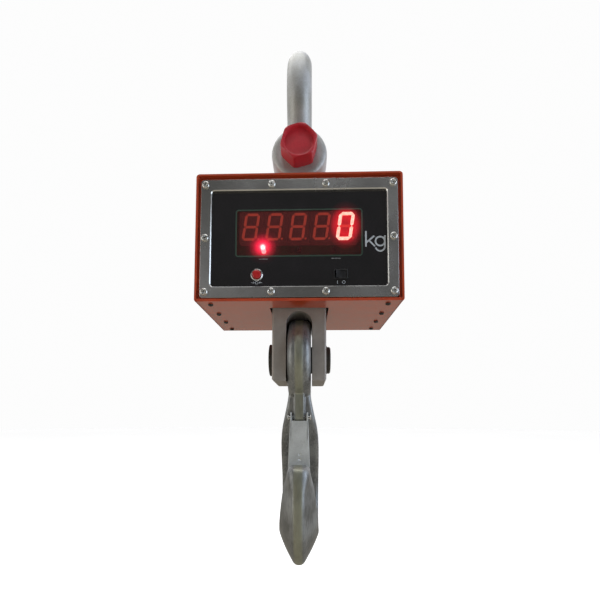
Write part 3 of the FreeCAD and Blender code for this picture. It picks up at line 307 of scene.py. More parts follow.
def arc(centre, radius, start, end, steps=12):
    """Points round part of a circle; angles in degrees."""
    turns = [math.radians(start + (end - start) * step / steps) for step in range(steps + 1)]
    return [(centre[0] + radius * math.cos(a), centre[1] + radius * math.sin(a)) for a in turns]


def panel_loop(centre, y, wide, tall, corner):
    """A round rectangle in an upright plane."""
    return [Vector((centre.x + x, y, centre.z + z)) for x, z in round_rectangle(wide, tall, corner)]


def tube(work, path, radius, sides=12, closed=False, index=0):
    """A round wire along a path."""
    loops = []
    normal = Vector((0.31, 0.87, 0.38))
    count = len(path)
    for i, point in enumerate(path):
        ahead = path[(i + 1) % count] if closed or i + 1 < count else point
        behind = path[i - 1] if closed or i else point
        forward = (ahead - behind).normalized()
        normal = (normal - forward * normal.dot(forward)).normalized()
        side = forward.cross(normal)
        loops.append([point + radius * (normal * math.cos(a) + side * math.sin(a))
                      for a in (2 * math.pi * s / sides for s in range(sides))])
    return skin(work, loops, closed=closed, index=index)


def applied(mesh, *modifiers):
    """A mesh with modifiers run on it: each is a kind and its settings."""
    holder = bpy.data.objects.new("holder", mesh)
    bpy.context.collection.objects.link(holder)
    for kind, settings in modifiers:
        modifier = holder.modifiers.new(kind, kind)
        for key, value in settings.items():
            setattr(modifier, key, value)
    depsgraph = bpy.context.evaluated_depsgraph_get()
    result = bpy.data.meshes.new_from_object(holder.evaluated_get(depsgraph))
    bpy.data.objects.remove(holder)
    return result


def bevelled(mesh, width, segments=2, angle=30):
    return applied(mesh, ("BEVEL", {"width": width, "segments": segments, "limit_method": "ANGLE",
                                    "angle_limit": math.radians(angle), "use_clamp_overlap": True,
                                    "harden_normals": False}))


def forged(mesh, voxel, rounds):
    """Overlapping closed parts melted into one skin, with soft blends."""
    return applied(mesh, ("REMESH", {"mode": "VOXEL", "voxel_size": voxel}),
                   ("SMOOTH", {"factor": 0.5, "iterations": rounds}))


def softened(node, body, material, width, name):
    """A CAD piece with its edges eased, as a coat of paint or a deburring tool leaves them."""
    work = bmesh.new()
    work.from_mesh(frame["nodes"][node].data)
    bmesh.ops.remove_doubles(work, verts=work.verts, dist=0.01 * MM)
    bmesh.ops.dissolve_limit(work, angle_limit=math.radians(1), verts=work.verts, edges=work.edges)
    mesh = bevelled(to_mesh(name, work), width)
    finish(name, mesh, material, body, [node])


# ------------ materials of the scale
LAMPS = Place("indicator_lamps")
LAST_DIGIT = Place("digit_5")
LAMP_RADIUS = 2.5 * MM
LAMP = Vector((LAMPS.low.x + LAMP_RADIUS, LAMPS.low.y, LAMPS.mid.z + 0.6 * MM))
LIT = Vector((LAST_DIGIT.mid.x, LAST_DIGIT.low.y, LAST_DIGIT.mid.z))

surface("galvanised", (0.34, 0.34, 0.315), (0.54, 0.55, 0.565), 0.7, (0.46, 0.60), 38, 700,
        grain_depth=0.03, wave_depth=0.35)
surface("red_enamel", (0.44, 0.010, 0.022), (0.58, 0.016, 0.032), 0.0, (0.42, 0.55), 90, 800,
        grain_depth=0.03, wave_depth=0.15, coat=0.25, coat_rough=0.25)
surface("nylon", (0.60, 0.58, 0.52), (0.78, 0.76, 0.70), 0.0, (0.45, 0.6))
surface("machined", (0.29, 0.265, 0.245), (0.39, 0.36, 0.335), 0.3, (0.45, 0.58), 55, 500,
        stretch=(1, 1, 7), grain_depth=0.03)
surface("bronze", (0.45, 0.27, 0.10), (0.62, 0.42, 0.20), 1.0, (0.3, 0.45))
surface("black_oxide", (0.020, 0.018, 0.015), (0.055, 0.048, 0.040), 0.15, (0.32, 0.5), 110)
surface("powder_coat", (0.45, 0.050, 0.013), (0.55, 0.068, 0.018), 0.0, (0.30, 0.38), 70, 1500,
        grain_depth=0.012, coat=1.0, coat_rough=0.10)
surface("stainless", (0.50, 0.495, 0.47), (0.78, 0.78, 0.78), 1.0, (0.20, 0.32), 12, 420,
        stretch=(1, 1, 9))
surface("screw_steel", (0.48, 0.48, 0.46), (0.70, 0.70, 0.68), 1.0, (0.18, 0.3), 200)
surface("zinc", (0.56, 0.58, 0.58), (0.72, 0.745, 0.75), 0.45, (0.36, 0.50), 60, 600,
        grain_depth=0.025, wave_depth=0.05)
surface("wire", (0.22, 0.22, 0.23), (0.42, 0.42, 0.43), 1.0, (0.3, 0.4), 300)
surface("rubber", (0.012, 0.012, 0.012), (0.035, 0.035, 0.035), 0.0, (0.6, 0.75))
surface("board", (0.015, 0.10, 0.035), (0.03, 0.17, 0.06), 0.0, (0.3, 0.42), 120, coat=0.4)
surface("part", (0.02, 0.02, 0.022), (0.06, 0.06, 0.065), 0.0, (0.4, 0.55), 300)
surface("cable", (0.25, 0.25, 0.26), (0.42, 0.42, 0.43), 0.0, (0.45, 0.6))
surface("aluminium", (0.55, 0.55, 0.56), (0.75, 0.75, 0.76), 1.0, (0.3, 0.42), 70, 600,
        stretch=(1, 1, 6))
surface("red_cap", (0.42, 0.008, 0.010), (0.58, 0.018, 0.018), 0.0, (0.25, 0.36), 300, 1500,
        coat=0.5, coat_rough=0.1)
surface("black_plastic", (0.008, 0.008, 0.009), (0.024, 0.024, 0.026), 0.0, (0.3, 0.42), 150, 2500)
surface("film", (0.03, 0.06, 0.17), (0.06, 0.11, 0.28), 0.0, (0.25, 0.4), 40, 300, wave_depth=0.3)
# the forging carries a painted reflection, an olive band within a few millimetres of its middle plane
banded(surface("forging", (0.16, 0.165, 0.17), (0.35, 0.36, 0.365), 0.85, (0.36, 0.56), 34, 420,
               stretch=(1.8, 1.8, 0.25), grain_depth=0.06, wave_depth=0.35, share=(0.4, 0.6)),
       (0.33, 0.335, 0.255), 3.2 * MM, 2.4 * MM)
surface("print", (0.42, 0.45, 0.49), (0.56, 0.60, 0.65), 0.0, (0.4, 0.5), 300)
surface("faint_print", (0.10, 0.10, 0.105), (0.20, 0.20, 0.21), 0.0, (0.4, 0.5), 300)
# painted glow on the dark digit cases and on the unlit segments
painted_glow(surface("digit_case", (0.055, 0.008, 0.008), (0.09, 0.014, 0.012), 0.0, (0.4, 0.5), 180),
     (0.11, 0.016, 0.015), 1.1)
painted_glow(surface("unlit", (0.30, 0.026, 0.016), (0.40, 0.042, 0.024), 0.0, (0.35, 0.45), 180),
     (0.46, 0.052, 0.032), 1.8)
glowing("lit", (1.0, 0.38, 0.27), (1.0, 0.62, 0.50), 5.0)
glowing("lamp", (1.0, 0.35, 0.33), (1.0, 0.6, 0.55), 3.0)
surface("dark_lens", (0.05, 0.006, 0.006), (0.08, 0.010, 0.008), 0.0, (0.15, 0.25), 300)
# panel, window and outline all give off the painted glow round the lamp and the lit digit
lit_surface("panel", (0.0075, 0.0070, 0.0078), (0.012, 0.010, 0.012), (0.10, 0.16), 1.0, 0.45)
lit_surface("filter", (0.055, 0.008, 0.008), (0.085, 0.014, 0.013), (0.12, 0.2), 1.0, 1.9, alpha=0.5)
lit_surface("outline", (0.028, 0.060, 0.042), (0.045, 0.085, 0.062), (0.3, 0.4), 0.6, 0.7)


# ------------ shackle
def hexagonal(flats, round_to, turn):
    """The outline of a hexagon of that width across flats, its corners cut by a circle."""
    def reach(angle, radius):
        folded = (angle - turn) % (math.pi / 3) - math.pi / 6
        return min(flats / 2 / math.cos(folded), round_to, radius)
    return reach


def make_bow():
    """Forged bow: a round rod bent round the crown and into two eyes, blended where they meet."""
    bow, bolt = Place("shackle_bow"), joint_place("shackle_swing")
    rod = bow.high.z / 2
    crown_radius = bow.high.y - rod
    crown_z = bow.high.z - rod - crown_radius
    jaw, straight = 22 * MM, 16 * MM
    leg_y = (jaw + Place("shackle_nut").low.y) / 2
    fall = crown_z - bolt.z - straight
    bend = (leg_y ** 2 + fall ** 2 - crown_radius ** 2) / (2 * (crown_radius - leg_y))
    tangent = math.atan2(-fall, leg_y + bend)
    path = []
    for step in range(28):
        turn = math.pi / 2 + (tangent - math.pi / 2) * step / 28
        path.append(Vector((0, crown_radius * math.cos(turn), crown_z + crown_radius * math.sin(turn))))
    for step in range(12):
        turn = math.pi + tangent - tangent * step / 11
        path.append(Vector((0, leg_y + bend + bend * math.cos(turn),
                            crown_z - fall + bend * math.sin(turn))))
    path.append(Vector((0, leg_y, bolt.z + straight)))
    whole = [Vector((0, -p.y, p.z)) for p in reversed(path)] + path[1:]
    work = bmesh.new()
    tube(work, whole, rod, 40)
    ear, half = (bow.high.x - bow.low.x) / 2, leg_y - jaw
    bore, soft = 12.3 * MM, 5 * MM
    for sign in (-1, 1):
        low, high = sign * leg_y - half, sign * leg_y + half
        profile = [(low, bore), (low, ear - soft), (low + soft * 0.3, ear - soft * 0.3), (low + soft, ear),
                   (high - soft, ear), (high - soft * 0.3, ear - soft * 0.3), (high, ear - soft),
                   (high, bore)]
        spun(work, "Y", (0, 0, bolt.z), profile, 72, closed=True)
    mesh = forged(to_mesh("bow_forging", work), 0.9 * MM, 10)
    finish("bow_forging", mesh, "galvanised", "shackle", ["shackle_bow"], 80, False)


def make_bolt():
    """Red bolt: a hexagon head whose face is a dish with a thin raised rim."""
    bolt = Place("shackle_bolt")
    front, seat, tail = bolt.low.y, -Place("shackle_nut").low.y, bolt.high.y
    flats, corners, rim, radius = 36 * MM, 20.4 * MM, 17.6 * MM, 12 * MM
    outline = hexagonal(flats, corners, math.radians(15))
    dish = [(1.6, flats), (0.9, 20.0 * MM), (0.3, 19.3 * MM), (0, 18.4 * MM), (0, rim - 0.5 * MM),
            (0.3, rim - 1.1 * MM), (1.0, rim - 1.5 * MM), (3.6, rim - 1.9 * MM), (4.0, rim - 3.0 * MM),
            (3.9, rim * 0.4), (3.6, rim * 0.05)]
    head = [(seat, flats * 0.54), (seat - 1 * MM, flats)]
    head += [(front + back * MM, reach) for back, reach in dish]
    work = bmesh.new()
    spun(work, "Y", (0, 0, bolt.mid.z), head, 120, shape=outline)
    shank = [(seat - 1 * MM, radius), (tail - 2 * MM, radius), (tail, radius - 2 * MM)]
    spun(work, "Y", (0, 0, bolt.mid.z), shank, 56)
    finish("bolt_body", work, "red_enamel", "shackle", ["shackle_bolt"], 28)


def make_nut_and_pin():
    """Castle-height nut with chamfered corners, and a split pin with its loop and spread legs."""
    nut = Place("shackle_nut")
    outline = hexagonal(36 * MM, 20.78 * MM, math.radians(30))
    bore, face, corner, chamfer = 12.1 * MM, 17.6 * MM, 21 * MM, 1.6 * MM
    profile = [(nut.low.y, bore), (nut.low.y, face), (nut.low.y + chamfer, corner),
               (nut.high.y - chamfer, corner), (nut.high.y, face), (nut.high.y, bore)]
    work = bmesh.new()
    spun(work, "Y", (0, 0, nut.mid.z), profile, 96, closed=True, shape=outline)
    finish("bolt_nut", work, "galvanised", "shackle", ["shackle_nut"], 28)
    pin = Place("split_pin")
    loop, wire = 3.9 * MM, 1.0 * MM
    top = pin.high.z - loop - wire

    def leg(*points):
        return [Vector((x * MM, pin.mid.y, pin.low.z + z * MM)) for x, z in points]

    right = leg((4.2, 1.2), (2.6, 4.5), (1.0, 8.5), (1.0, 20), (1.0, 33))
    left = leg((-1.0, 33), (-1.0, 20), (-1.0, 8.0), (-3.2, 4.0), (-4.2, 2.2))
    ring = [Vector((x, pin.mid.y, z)) for x, z in arc((0, top), loop, -70, 250, 24)]
    work = bmesh.new()
    tube(work, right + ring + left, wire)
    finish("split_pin_wire", work, "zinc", "shackle", ["split_pin"], 60)


# ------------ case, bezel and screws
def pan_screw(work, centre, radius, tall, turn, axis, sign):
    """A pan-head screw with a pressed cross: rings of a dome whose inner points drop into the cross."""
    steps, floor = 48, 0.62
    rings = [(1.0, 0.0), (1.0, 0.35), (0.97, 0.6), (0.86, 0.84), (0.70, 0.95), (0.56, 0.99),
             (0.46, 1.0), (0.36, 1.0), (0.24, 1.0), (0.12, 1.0)]
    loops = []
    for share, height in rings:
        loop = []
        for step in range(steps):
            angle = 2 * math.pi * step / steps
            x, z = share * math.cos(angle + turn), share * math.sin(angle + turn)
            arm = abs(math.cos(2 * angle)) ** 6
            deep = floor * arm * max(0.0, min(1.0, (0.60 - share) / 0.10)) if share > 0.2 else floor
            at = sign * tall * (height - deep)
            loop.append(Vector(centre) + along(axis, at, (radius * x, radius * z)))
        loops.append(loop)
    skin(work, loops)


def make_screws(name, node, places, radius, tall, material, axis="Y", sign=-1):
    """Screws at several places, each turned its own way."""
    work = bmesh.new()
    for number, place in enumerate(places):
        pan_screw(work, place, radius, tall, 0.7 * number + 0.35, axis, sign)
    finish(name, work, material, "housing", [node], 32)


PAN_HEAD, SMALL_HEAD, INNER_SCREW = 4 * MM, 2.7 * MM, 28.8 * MM


def ten_places(node, y, middle):
    """Ten screws round a cover: three up each side, then two pairs above and below the middle."""
    heads = Place(node)
    up, aside = heads.size.z / 2 - PAN_HEAD, heads.high.x - PAN_HEAD
    three, two = (-up, 0, up), (-up, up)
    columns = ((-aside, three), (aside, three), (-INNER_SCREW, two), (INNER_SCREW, two))
    return [Vector((x, y, middle + z)) for x, heights in columns for z in heights]


def make_bezel():
    """Brushed bezel with eased outer edges and a bright sloping edge round the window."""
    bezel = Place("front_bezel")
    front, back = bezel.low.y, bezel.high.y
    wide, tall = bezel.size.x, bezel.size.z
    ease, corner = 0.5 * MM, 3.2 * MM
    window, slope = Vector((187.2 * MM, 0, 105.0 * MM)), 0.9 * MM
    loops = [
        panel_loop(bezel.mid, back, wide, tall, corner),
        panel_loop(bezel.mid, front + ease, wide, tall, corner),
        panel_loop(bezel.mid, front + ease * 0.3, wide - ease * 0.6, tall - ease * 0.6, corner),
        panel_loop(bezel.mid, front, wide - 2 * ease, tall - 2 * ease, corner),
        panel_loop(bezel.mid, front, window.x + 2 * slope, window.z + 2 * slope, corner + slope),
        panel_loop(bezel.mid, front + 0.15 * MM, window.x + 1.6 * slope, window.z + 1.6 * slope,
                   corner + 0.8 * slope),
        panel_loop(bezel.mid, front + 1.0 * MM, window.x, window.z, corner),
        panel_loop(bezel.mid, back, window.x, window.z, corner),
    ]
    work = bmesh.new()
    skin(work, loops, closed=True)
    finish("bezel_frame", work, "stainless", "housing", ["front_bezel"], 25)
    places = ten_places("bezel_screws", front, bezel.mid.z)
    make_screws("bezel_screw_heads", "bezel_screws", places, PAN_HEAD, 2.3 * MM, "screw_steel")


def make_case():
    """The painted sheet: case, bottom plate and rear cover with eased edges, and their screws."""
    for node, ease, name in (("housing_shell", 0.5, "case_wrap"), ("bottom_plate", 0.4, "case_bottom"),
                             ("rear_cover", 0.4, "case_back")):
        softened(node, "housing", "powder_coat", ease * MM, name)
    bottom, plate = Place("bottom_screws"), Place("bottom_plate")
    x, y = bottom.high.x - SMALL_HEAD, bottom.high.y - SMALL_HEAD
    places = [Vector((sx * x, sy * y, plate.low.z)) for sx in (-1, 1) for sy in (-1, -1 / 3, 1 / 3, 1)]
    make_screws("bottom_screw_heads", "bottom_screws", places, SMALL_HEAD, 1.9 * MM, "black_oxide",
                "Z", -1)
    sunk = Place("rear_cover").high.y - 2.0 * MM
    places = ten_places("rear_screws", sunk, Place("rear_screws").mid.z)
    make_screws("rear_screw_heads", "rear_screws", places, PAN_HEAD, 1.9 * MM, "screw_steel",
                "Y", 1)


# ------------ panel and display
SLANT = math.radians(8)
SEGMENTS = "abcdefg"


def eased_block(work, place, face, corner, ease):
    """A block with round corners and an eased edge round its face."""
    wide, tall = place.size.x, place.size.z
    skin(work, [panel_loop(place.mid, place.high.y, wide, tall, corner),
                panel_loop(place.mid, face + ease, wide, tall, corner),
                panel_loop(place.mid, face, wide - ease, tall - ease, corner)])


def bar(work, centre, y, start, end, thick, index):
    """A segment: a long hexagon with mitred ends, standing a little proud of the face."""
    length = (end - start).length
    axis = (end - start) / length
    side = Vector((-axis.y, axis.x))
    half = thick / 2
    outline = []
    for run, off in ((0, 0), (half, half), (length - half, half), (length, 0), (length - half, -half),
                     (half, -half)):
        point = start + axis * run + side * off
        outline.append(Vector((centre.x + point.x + point.y * math.tan(SLANT), 0, centre.z + point.y)))
    loops = []
    for at, share in ((y + 0.30 * MM, 1.0), (y + 0.02 * MM, 1.0), (y, 0.94)):
        middle = sum(outline, Vector()) / len(outline)
        loops.append([middle + (p - middle) * share + Vector((0, at, 0)) for p in outline])
    skin(work, loops, index=index)


def make_digit(number, lit):
    """A seven-segment module: dark case, seven bars and a point, all but the lit ones dull red."""
    place = Place(f"digit_{number}")
    work = bmesh.new()
    eased_block(work, place, place.low.y + 0.25 * MM, 0.5 * MM, 0.3 * MM)
    half_w, half_t = 6.7 * MM, 13.7 * MM
    corners = {"tl": (-half_w, half_t), "tr": (half_w, half_t), "ml": (-half_w, 0), "mr": (half_w, 0),
               "bl": (-half_w, -half_t), "br": (half_w, -half_t)}
    runs = {"a": ("tl", "tr"), "b": ("tr", "mr"), "c": ("mr", "br"), "d": ("bl", "br"),
            "e": ("ml", "bl"), "f": ("tl", "ml"), "g": ("ml", "mr")}
    front = place.low.y + 0.03 * MM
    for letter in SEGMENTS:
        start, end = (Vector(corners[c]) for c in runs[letter])
        on = letter in lit
        pull = (end - start).normalized() * (0.1 * MM if on else 0.35 * MM)
        thick, index = (3.5 * MM, 2) if on else (2.8 * MM, 1)
        bar(work, place.mid, front, start + pull, end - pull, thick, index)
    dot, reach = Vector((half_w + 3.3 * MM, -half_t + 0.4 * MM)), Vector((1.3 * MM, 0))
    bar(work, place.mid, front, dot - reach, dot + reach, 2.5 * MM, 1)
    finish(f"digit_face_{number}", work, "digit_case unlit lit", "housing",
           [f"digit_{number}"], 30)


def make_lamps():
    """Three 5 mm lamps with domed fronts; the left one is lit."""
    front, radius = LAMPS.low.y + 0.02 * MM, LAMP_RADIUS
    work = bmesh.new()
    for x, index in ((LAMPS.low.x + radius, 0), (LAMPS.mid.x, 1), (LAMPS.high.x - radius, 1)):
        profile = [(LAMPS.high.y, radius)]
        for step in range(6):
            turn = math.radians(15 * step)
            profile.append((front + radius * (1 - math.sin(turn)) * 0.9, radius * math.cos(turn)))
        profile.append((front, radius * 0.08))
        spun(work, "Y", (x, 0, LAMPS.mid.z), profile, 32, index=index)
    finish("lamp_lenses", work, "lamp dark_lens", "housing", ["indicator_lamps"], 50)


def frame_strip(work, centre, y, wide, tall, corner, strip, lift):
    """A thin line printed round a window, a little proud."""
    outer = (wide + strip, tall + strip, corner + strip / 2)
    inner = (wide - strip, tall - strip, corner - strip / 2)
    skin(work, [panel_loop(centre, y, *outer), panel_loop(centre, y - lift, *outer),
                panel_loop(centre, y - lift, *inner), panel_loop(centre, y, *inner)], closed=True)


def ribbon(points, thick):
    """The outline of a stroke with round ends, or its two rings if it comes back to its start."""
    spots = [Vector(p) for p in points]
    looped = (spots[0] - spots[-1]).length < 0.01 * MM
    if looped:
        spots.pop()
    count, sides = len(spots), ([], [])
    for i, here in enumerate(spots):
        before = spots[i - 1] if i or looped else here
        after = spots[(i + 1) % count] if i + 1 < count or looped else here
        ahead = (after - before).normalized()
        bend = 1.0
        if before != here and after != here:
            bend = max(0.5, ahead.dot((after - here).normalized()))
        across = Vector((-ahead.y, ahead.x)) * thick / 2 / bend
        sides[0].append(here + across)
        sides[1].append(here - across)
    if looped:
        return sides
    outline = []
    for side, end in ((sides[0], spots[-1]), (sides[1][::-1], spots[0])):
        outline += side
        turn = math.atan2(*(side[-1] - end).yx)
        outline += [end + Vector((math.cos(a), math.sin(a))) * thick / 2
                    for a in (turn - math.pi * step / 8 for step in range(1, 8))]
    return (outline,)


def printed(name, strokes, material, lift=0.05 * MM):
    """Marks printed on the panel, each stroke a hair higher than the last so that none lie level."""
    y = Place("front_panel").low.y
    work = bmesh.new()
    for number, (points, thick) in enumerate(strokes):
        top = y - lift - 0.004 * MM * number
        rings = ribbon(points, thick)
        levels = [(rings[0], y), (rings[0], top)]
        if len(rings) == 2:
            levels += [(rings[1], top), (rings[1], y)]
        skin(work, [[Vector((p.x, at, p.y)) for p in ring] for ring, at in levels], len(rings) == 2)
    finish(name, work, material, "housing", (), 30)


def make_prints():
    """The unit beside the display, symbols under the controls and short bars under the lamps."""
    panel, display = Place("front_panel"), Place("display_filter")
    mid = panel.mid.z
    x, base, thick, fine = display.high.x + 4.3 * MM, mid - 9 * MM, 1.75 * MM, 0.45 * MM
    bowl, middle = 4.9 * MM, x + 15.0 * MM
    right = middle + bowl
    unit = [[(x, base), (x, base + 15.6 * MM)],
            [(x + 8.3 * MM, base + 10.6 * MM), (x + 0.5 * MM, base + 3.9 * MM)],
            [(x + 3.2 * MM, base + 6.2 * MM), (x + 9.0 * MM, base)],
            arc((middle, base + 5.2 * MM), bowl, 0, 360, 24),
            [(right, base + 10.6 * MM), (right, base - 1.0 * MM)],
            arc((middle, base - 0.6 * MM), bowl, 0, -160)]
    printed("print_unit", [(points, thick) for points in unit], "print")
    button, rocker = Place("button_cap").mid, Place("rocker_frame").mid
    low, sign, head = button.z - 8.4 * MM, 1.5 * MM, 1.0 * MM
    arrows = []
    heads = []
    for side in (-1, 1):
        tail, barb, tip = (button.x + side * away * MM for away in (5.6, 3.7, 2.6))
        arrows.append([(tail, low), (tip, low)])
        heads.append([(barb, low + head), (tip, low), (barb, low - head)])
    off, on = rocker.x - 3.5 * MM, rocker.x + 3.2 * MM
    symbols = [arc((button.x, low), sign, 0, 360, 16), *arrows, *heads,
               [(off, low + sign), (off, low - sign)], arc((on, low), sign, 0, 360, 16)]
    printed("print_symbols", [(points, fine) for points in symbols], "print")
    under_lamps, long = mid - 22.1 * MM, 2.2 * MM
    starts = [x * MM for x in (-42.0, -38.6, -35.4, 35.2, 38.6, 41.8)]
    dashes = [([(start, under_lamps), (start + long, under_lamps)], 1.1 * MM) for start in starts]
    printed("print_bars", dashes, "faint_print")


def make_panel():
    """Gloss panel with eased edges, the smoked red window and its printed green outline."""
    display = Place("display_filter")
    softened("front_panel", "housing", "panel", 0.2 * MM, "panel_sheet")
    work = bmesh.new()
    eased_block(work, display, display.low.y, 1.6 * MM, 0.25 * MM)
    finish("display_window", work, "filter", "housing", ["display_filter"], 30)
    work = bmesh.new()
    apart = 0.4 * MM
    frame_strip(work, display.mid, display.low.y, display.size.x + apart, display.size.z + apart,
                2.6 * MM, 1.5 * MM, 0.08 * MM)
    finish("display_outline", work, "outline", "housing", (), 30)
    for number in range(1, 6):
        make_digit(number, "abcdef" if number == 5 else "")
    make_lamps()
    make_prints()


def make_button():
    """Domed red cap in a bright turned ring."""
    ring, cap = Place("button_ring"), Place("button_cap")
    centre = (ring.mid.x, 0, ring.mid.z)
    outer, inner, barrel = ring.size.x / 2, cap.size.x / 2 + 0.15 * MM, 5.5 * MM
    face, seat = ring.low.y, Place("front_panel").low.y
    profile = [(ring.high.y, inner), (ring.high.y, barrel), (seat, barrel), (seat, outer),
               (seat - 0.5 * MM, outer), (face + 0.35 * MM, outer - 0.45 * MM), (face, outer - 0.95 * MM),
               (face + 0.1 * MM, inner + 0.35 * MM), (face + 0.6 * MM, inner)]
    work = bmesh.new()
    spun(work, "Y", centre, profile, 64, closed=True)
    finish("button_bezel", work, "screw_steel", "housing", ["button_ring"], 30)
    radius, dome = cap.size.x / 2, 1.4 * MM
    profile = [(cap.high.y, radius)]
    for share, drop in ((1.0, 1.0), (0.97, 0.55), (0.88, 0.25), (0.7, 0.09), (0.45, 0.02), (0.1, 0.0)):
        profile.append((cap.low.y + drop * dome, radius * share))
    work = bmesh.new()
    spun(work, "Y", centre, profile, 48)
    finish("button_dome", work, "red_cap", "zero_button", ["button_cap"], 40)


def make_rocker():
    """Small rocker switch: its frame and paddle keep their CAD shape, with eased edges."""
    for node, body, ease, name in (("rocker_frame", "housing", 0.25, "switch_frame"),
                                   ("rocker", "power_rocker", 0.3, "switch_paddle")):
        softened(node, body, "black_plastic", ease * MM, name)


# ------------ fork and hook
def make_fork():
    """Machined fork with broken edges, and the headed pin held by a spring ring."""
    softened("fork_block", "housing", "machined", 0.8 * MM, "fork_body")
    pin, clip, fork = Place("hook_pin"), Place("pin_circlip"), Place("fork_block")
    radius, head, groove, play, chamfer = 16 * MM, 19 * MM, 1.5 * MM, 0.1 * MM, 1.2 * MM
    low, high = pin.low.x, pin.high.x
    start, end = clip.low.x - play, clip.high.x + play
    profile = [(low, head * 0.55), (low, head - 0.8 * MM), (low + 0.3 * MM, head - 0.25 * MM),
               (low + 0.8 * MM, head), (fork.low.x, head), (fork.low.x, radius), (start, radius),
               (start, radius - groove), (end, radius - groove), (end, radius), (high - chamfer, radius),
               (high, radius - chamfer), (high, radius * 0.5)]
    work = bmesh.new()
    spun(work, "X", (0, 0, joint_place("hook_swing").z), profile, 72)
    finish("fork_pin", work, "black_oxide", "housing", ["hook_pin"], 30)
    softened("pin_circlip", "housing", "black_oxide", 0.2 * MM, "fork_pin_ring")


def wedge(centre, outward, depth, inner, outer, knob=0.0, count=64):
    """A section across the hook: a trapezoid, wide towards the inside of the bend, with rounded corners
    and slightly full sides. knob runs from a crisp outer facet at 0 to a round one at 1."""
    half, full = depth / 2, 0.05 * (inner - outer)
    corner_in = min(inner * 0.16, depth * 0.2)
    corner_out = min(outer * 0.45, depth * (0.10 + 0.25 * knob))
    spots = [(-half, inner / 2, corner_in), (0.0, (inner + outer) / 4 + full, depth * 0.3),
             (half, outer / 2, corner_out), (half, -outer / 2, corner_out),
             (0.0, -(inner + outer) / 4 - full, depth * 0.3), (-half, -inner / 2, corner_in)]
    outline = []
    for number, (a, b, r) in enumerate(spots):
        here = Vector((a, b))
        before = Vector(spots[number - 1][:2])
        after = Vector(spots[(number + 1) % len(spots)][:2])
        one, two = (before - here).normalized(), (after - here).normalized()
        start, end = here + one * r, here + two * r
        for step in range(7):
            t = step / 6
            outline.append(start * (1 - t) ** 2 + here * 2 * t * (1 - t) + end * t ** 2)
    lengths = [0.0]
    for p, q in zip(outline, outline[1:] + outline[:1]):
        lengths.append(lengths[-1] + (q - p).length)
    loop, total, seek = [], lengths[-1], 0
    for step in range(count):
        want = total * step / count
        while lengths[seek + 1] < want:
            seek += 1
        p, q = outline[seek], outline[(seek + 1) % len(outline)]
        t = (want - lengths[seek]) / max(lengths[seek + 1] - lengths[seek], 1e-9)
        run, side = p.lerp(q, t)
        loop.append(Vector((side, centre.y + run * outward.y, centre.z + run * outward.z)))
    return loop


def eased(rows, per):
    """Rows of numbers joined by a smooth curve, with more rows between each two."""
    result = []
    for i in range(len(rows) - 1):
        before, here = rows[max(i - 1, 0)], rows[i]
        after, later = rows[i + 1], rows[min(i + 2, len(rows) - 1)]
        for step in range(per):
            t = step / per
            result.append([0.5 * (2 * b + (c - a) * t + (2 * a - 5 * b + 4 * c - d) * t ** 2
                                  + (3 * b - a - 3 * c + d) * t ** 3)
                           for a, b, c, d in zip(before, here, after, later)])
    result.append(list(rows[-1]))
    return result


def hook_rows(pin, bowl, eye):
    """Stations along the hook: centre Y and Z, lean of the section in degrees, depth, inner and outer
    width in millimetres, and how round the outer facet is."""
    thick, inside, depth = 26.5, 31.0, 40.3
    neck = pin - eye
    fall = (neck - bowl) / 128
    rows = [(0, pin - 24, 0, 30, thick - 1, thick - 1, 1), (0.5, neck + 5, 4, 33, thick, thick, 0.8),
            (4, neck - 15 * fall, 16, 35, thick + 10, thick - 4, 0.6),
            (9.5, neck - 29 * fall, 27, 35.5, thick + 18, thick - 8, 0.5),
            (18.5, neck - 46 * fall, 34, 36, thick + 22.5, thick - 12, 0.4),
            (34, neck - 71 * fall, 29, 37, thick + 24, thick - 15, 0.2),
            (46.5, neck - 99 * fall, 13, 37.5, thick + 24, thick - 16, 0)]
    for turn, share, inner, outer in ((0, 0.94, 50.4, 10), (-30, 0.97, 50.2, 9.6), (-60, 0.99, 50, 9.4),
                                      (-90, 1.0, 49.6, 9.2), (-120, 0.97, 49, 9.2), (-150, 0.9, 47, 9.6),
                                      (-180, 0.8, 43, 10.4)):
        reach = inside + depth * share / 2
        rows.append((reach * math.cos(math.radians(turn)), bowl + reach * math.sin(math.radians(turn)),
                     turn, depth * share, inner, outer, 0))
    rise = 45.3
    for share, centre, deep, inner, outer, knob in (
            (0.42, 47.0, 30, 37, 12, 0.2), (0.62, 46.8, 28.5, 31, 17, 0.7), (0.78, 46.5, 26.5, 27, 21, 1),
            (0.90, 46.2, 23.5, 23.5, 20.5, 1), (0.965, 45.8, 18.5, 19, 17.5, 1),
            (0.992, 45.4, 12, 13, 12, 1), (1.0, 45.2, 6, 7, 6, 1)):
        rows.append((-centre, bowl + rise * share, -180, deep, inner, outer, knob))
    return rows


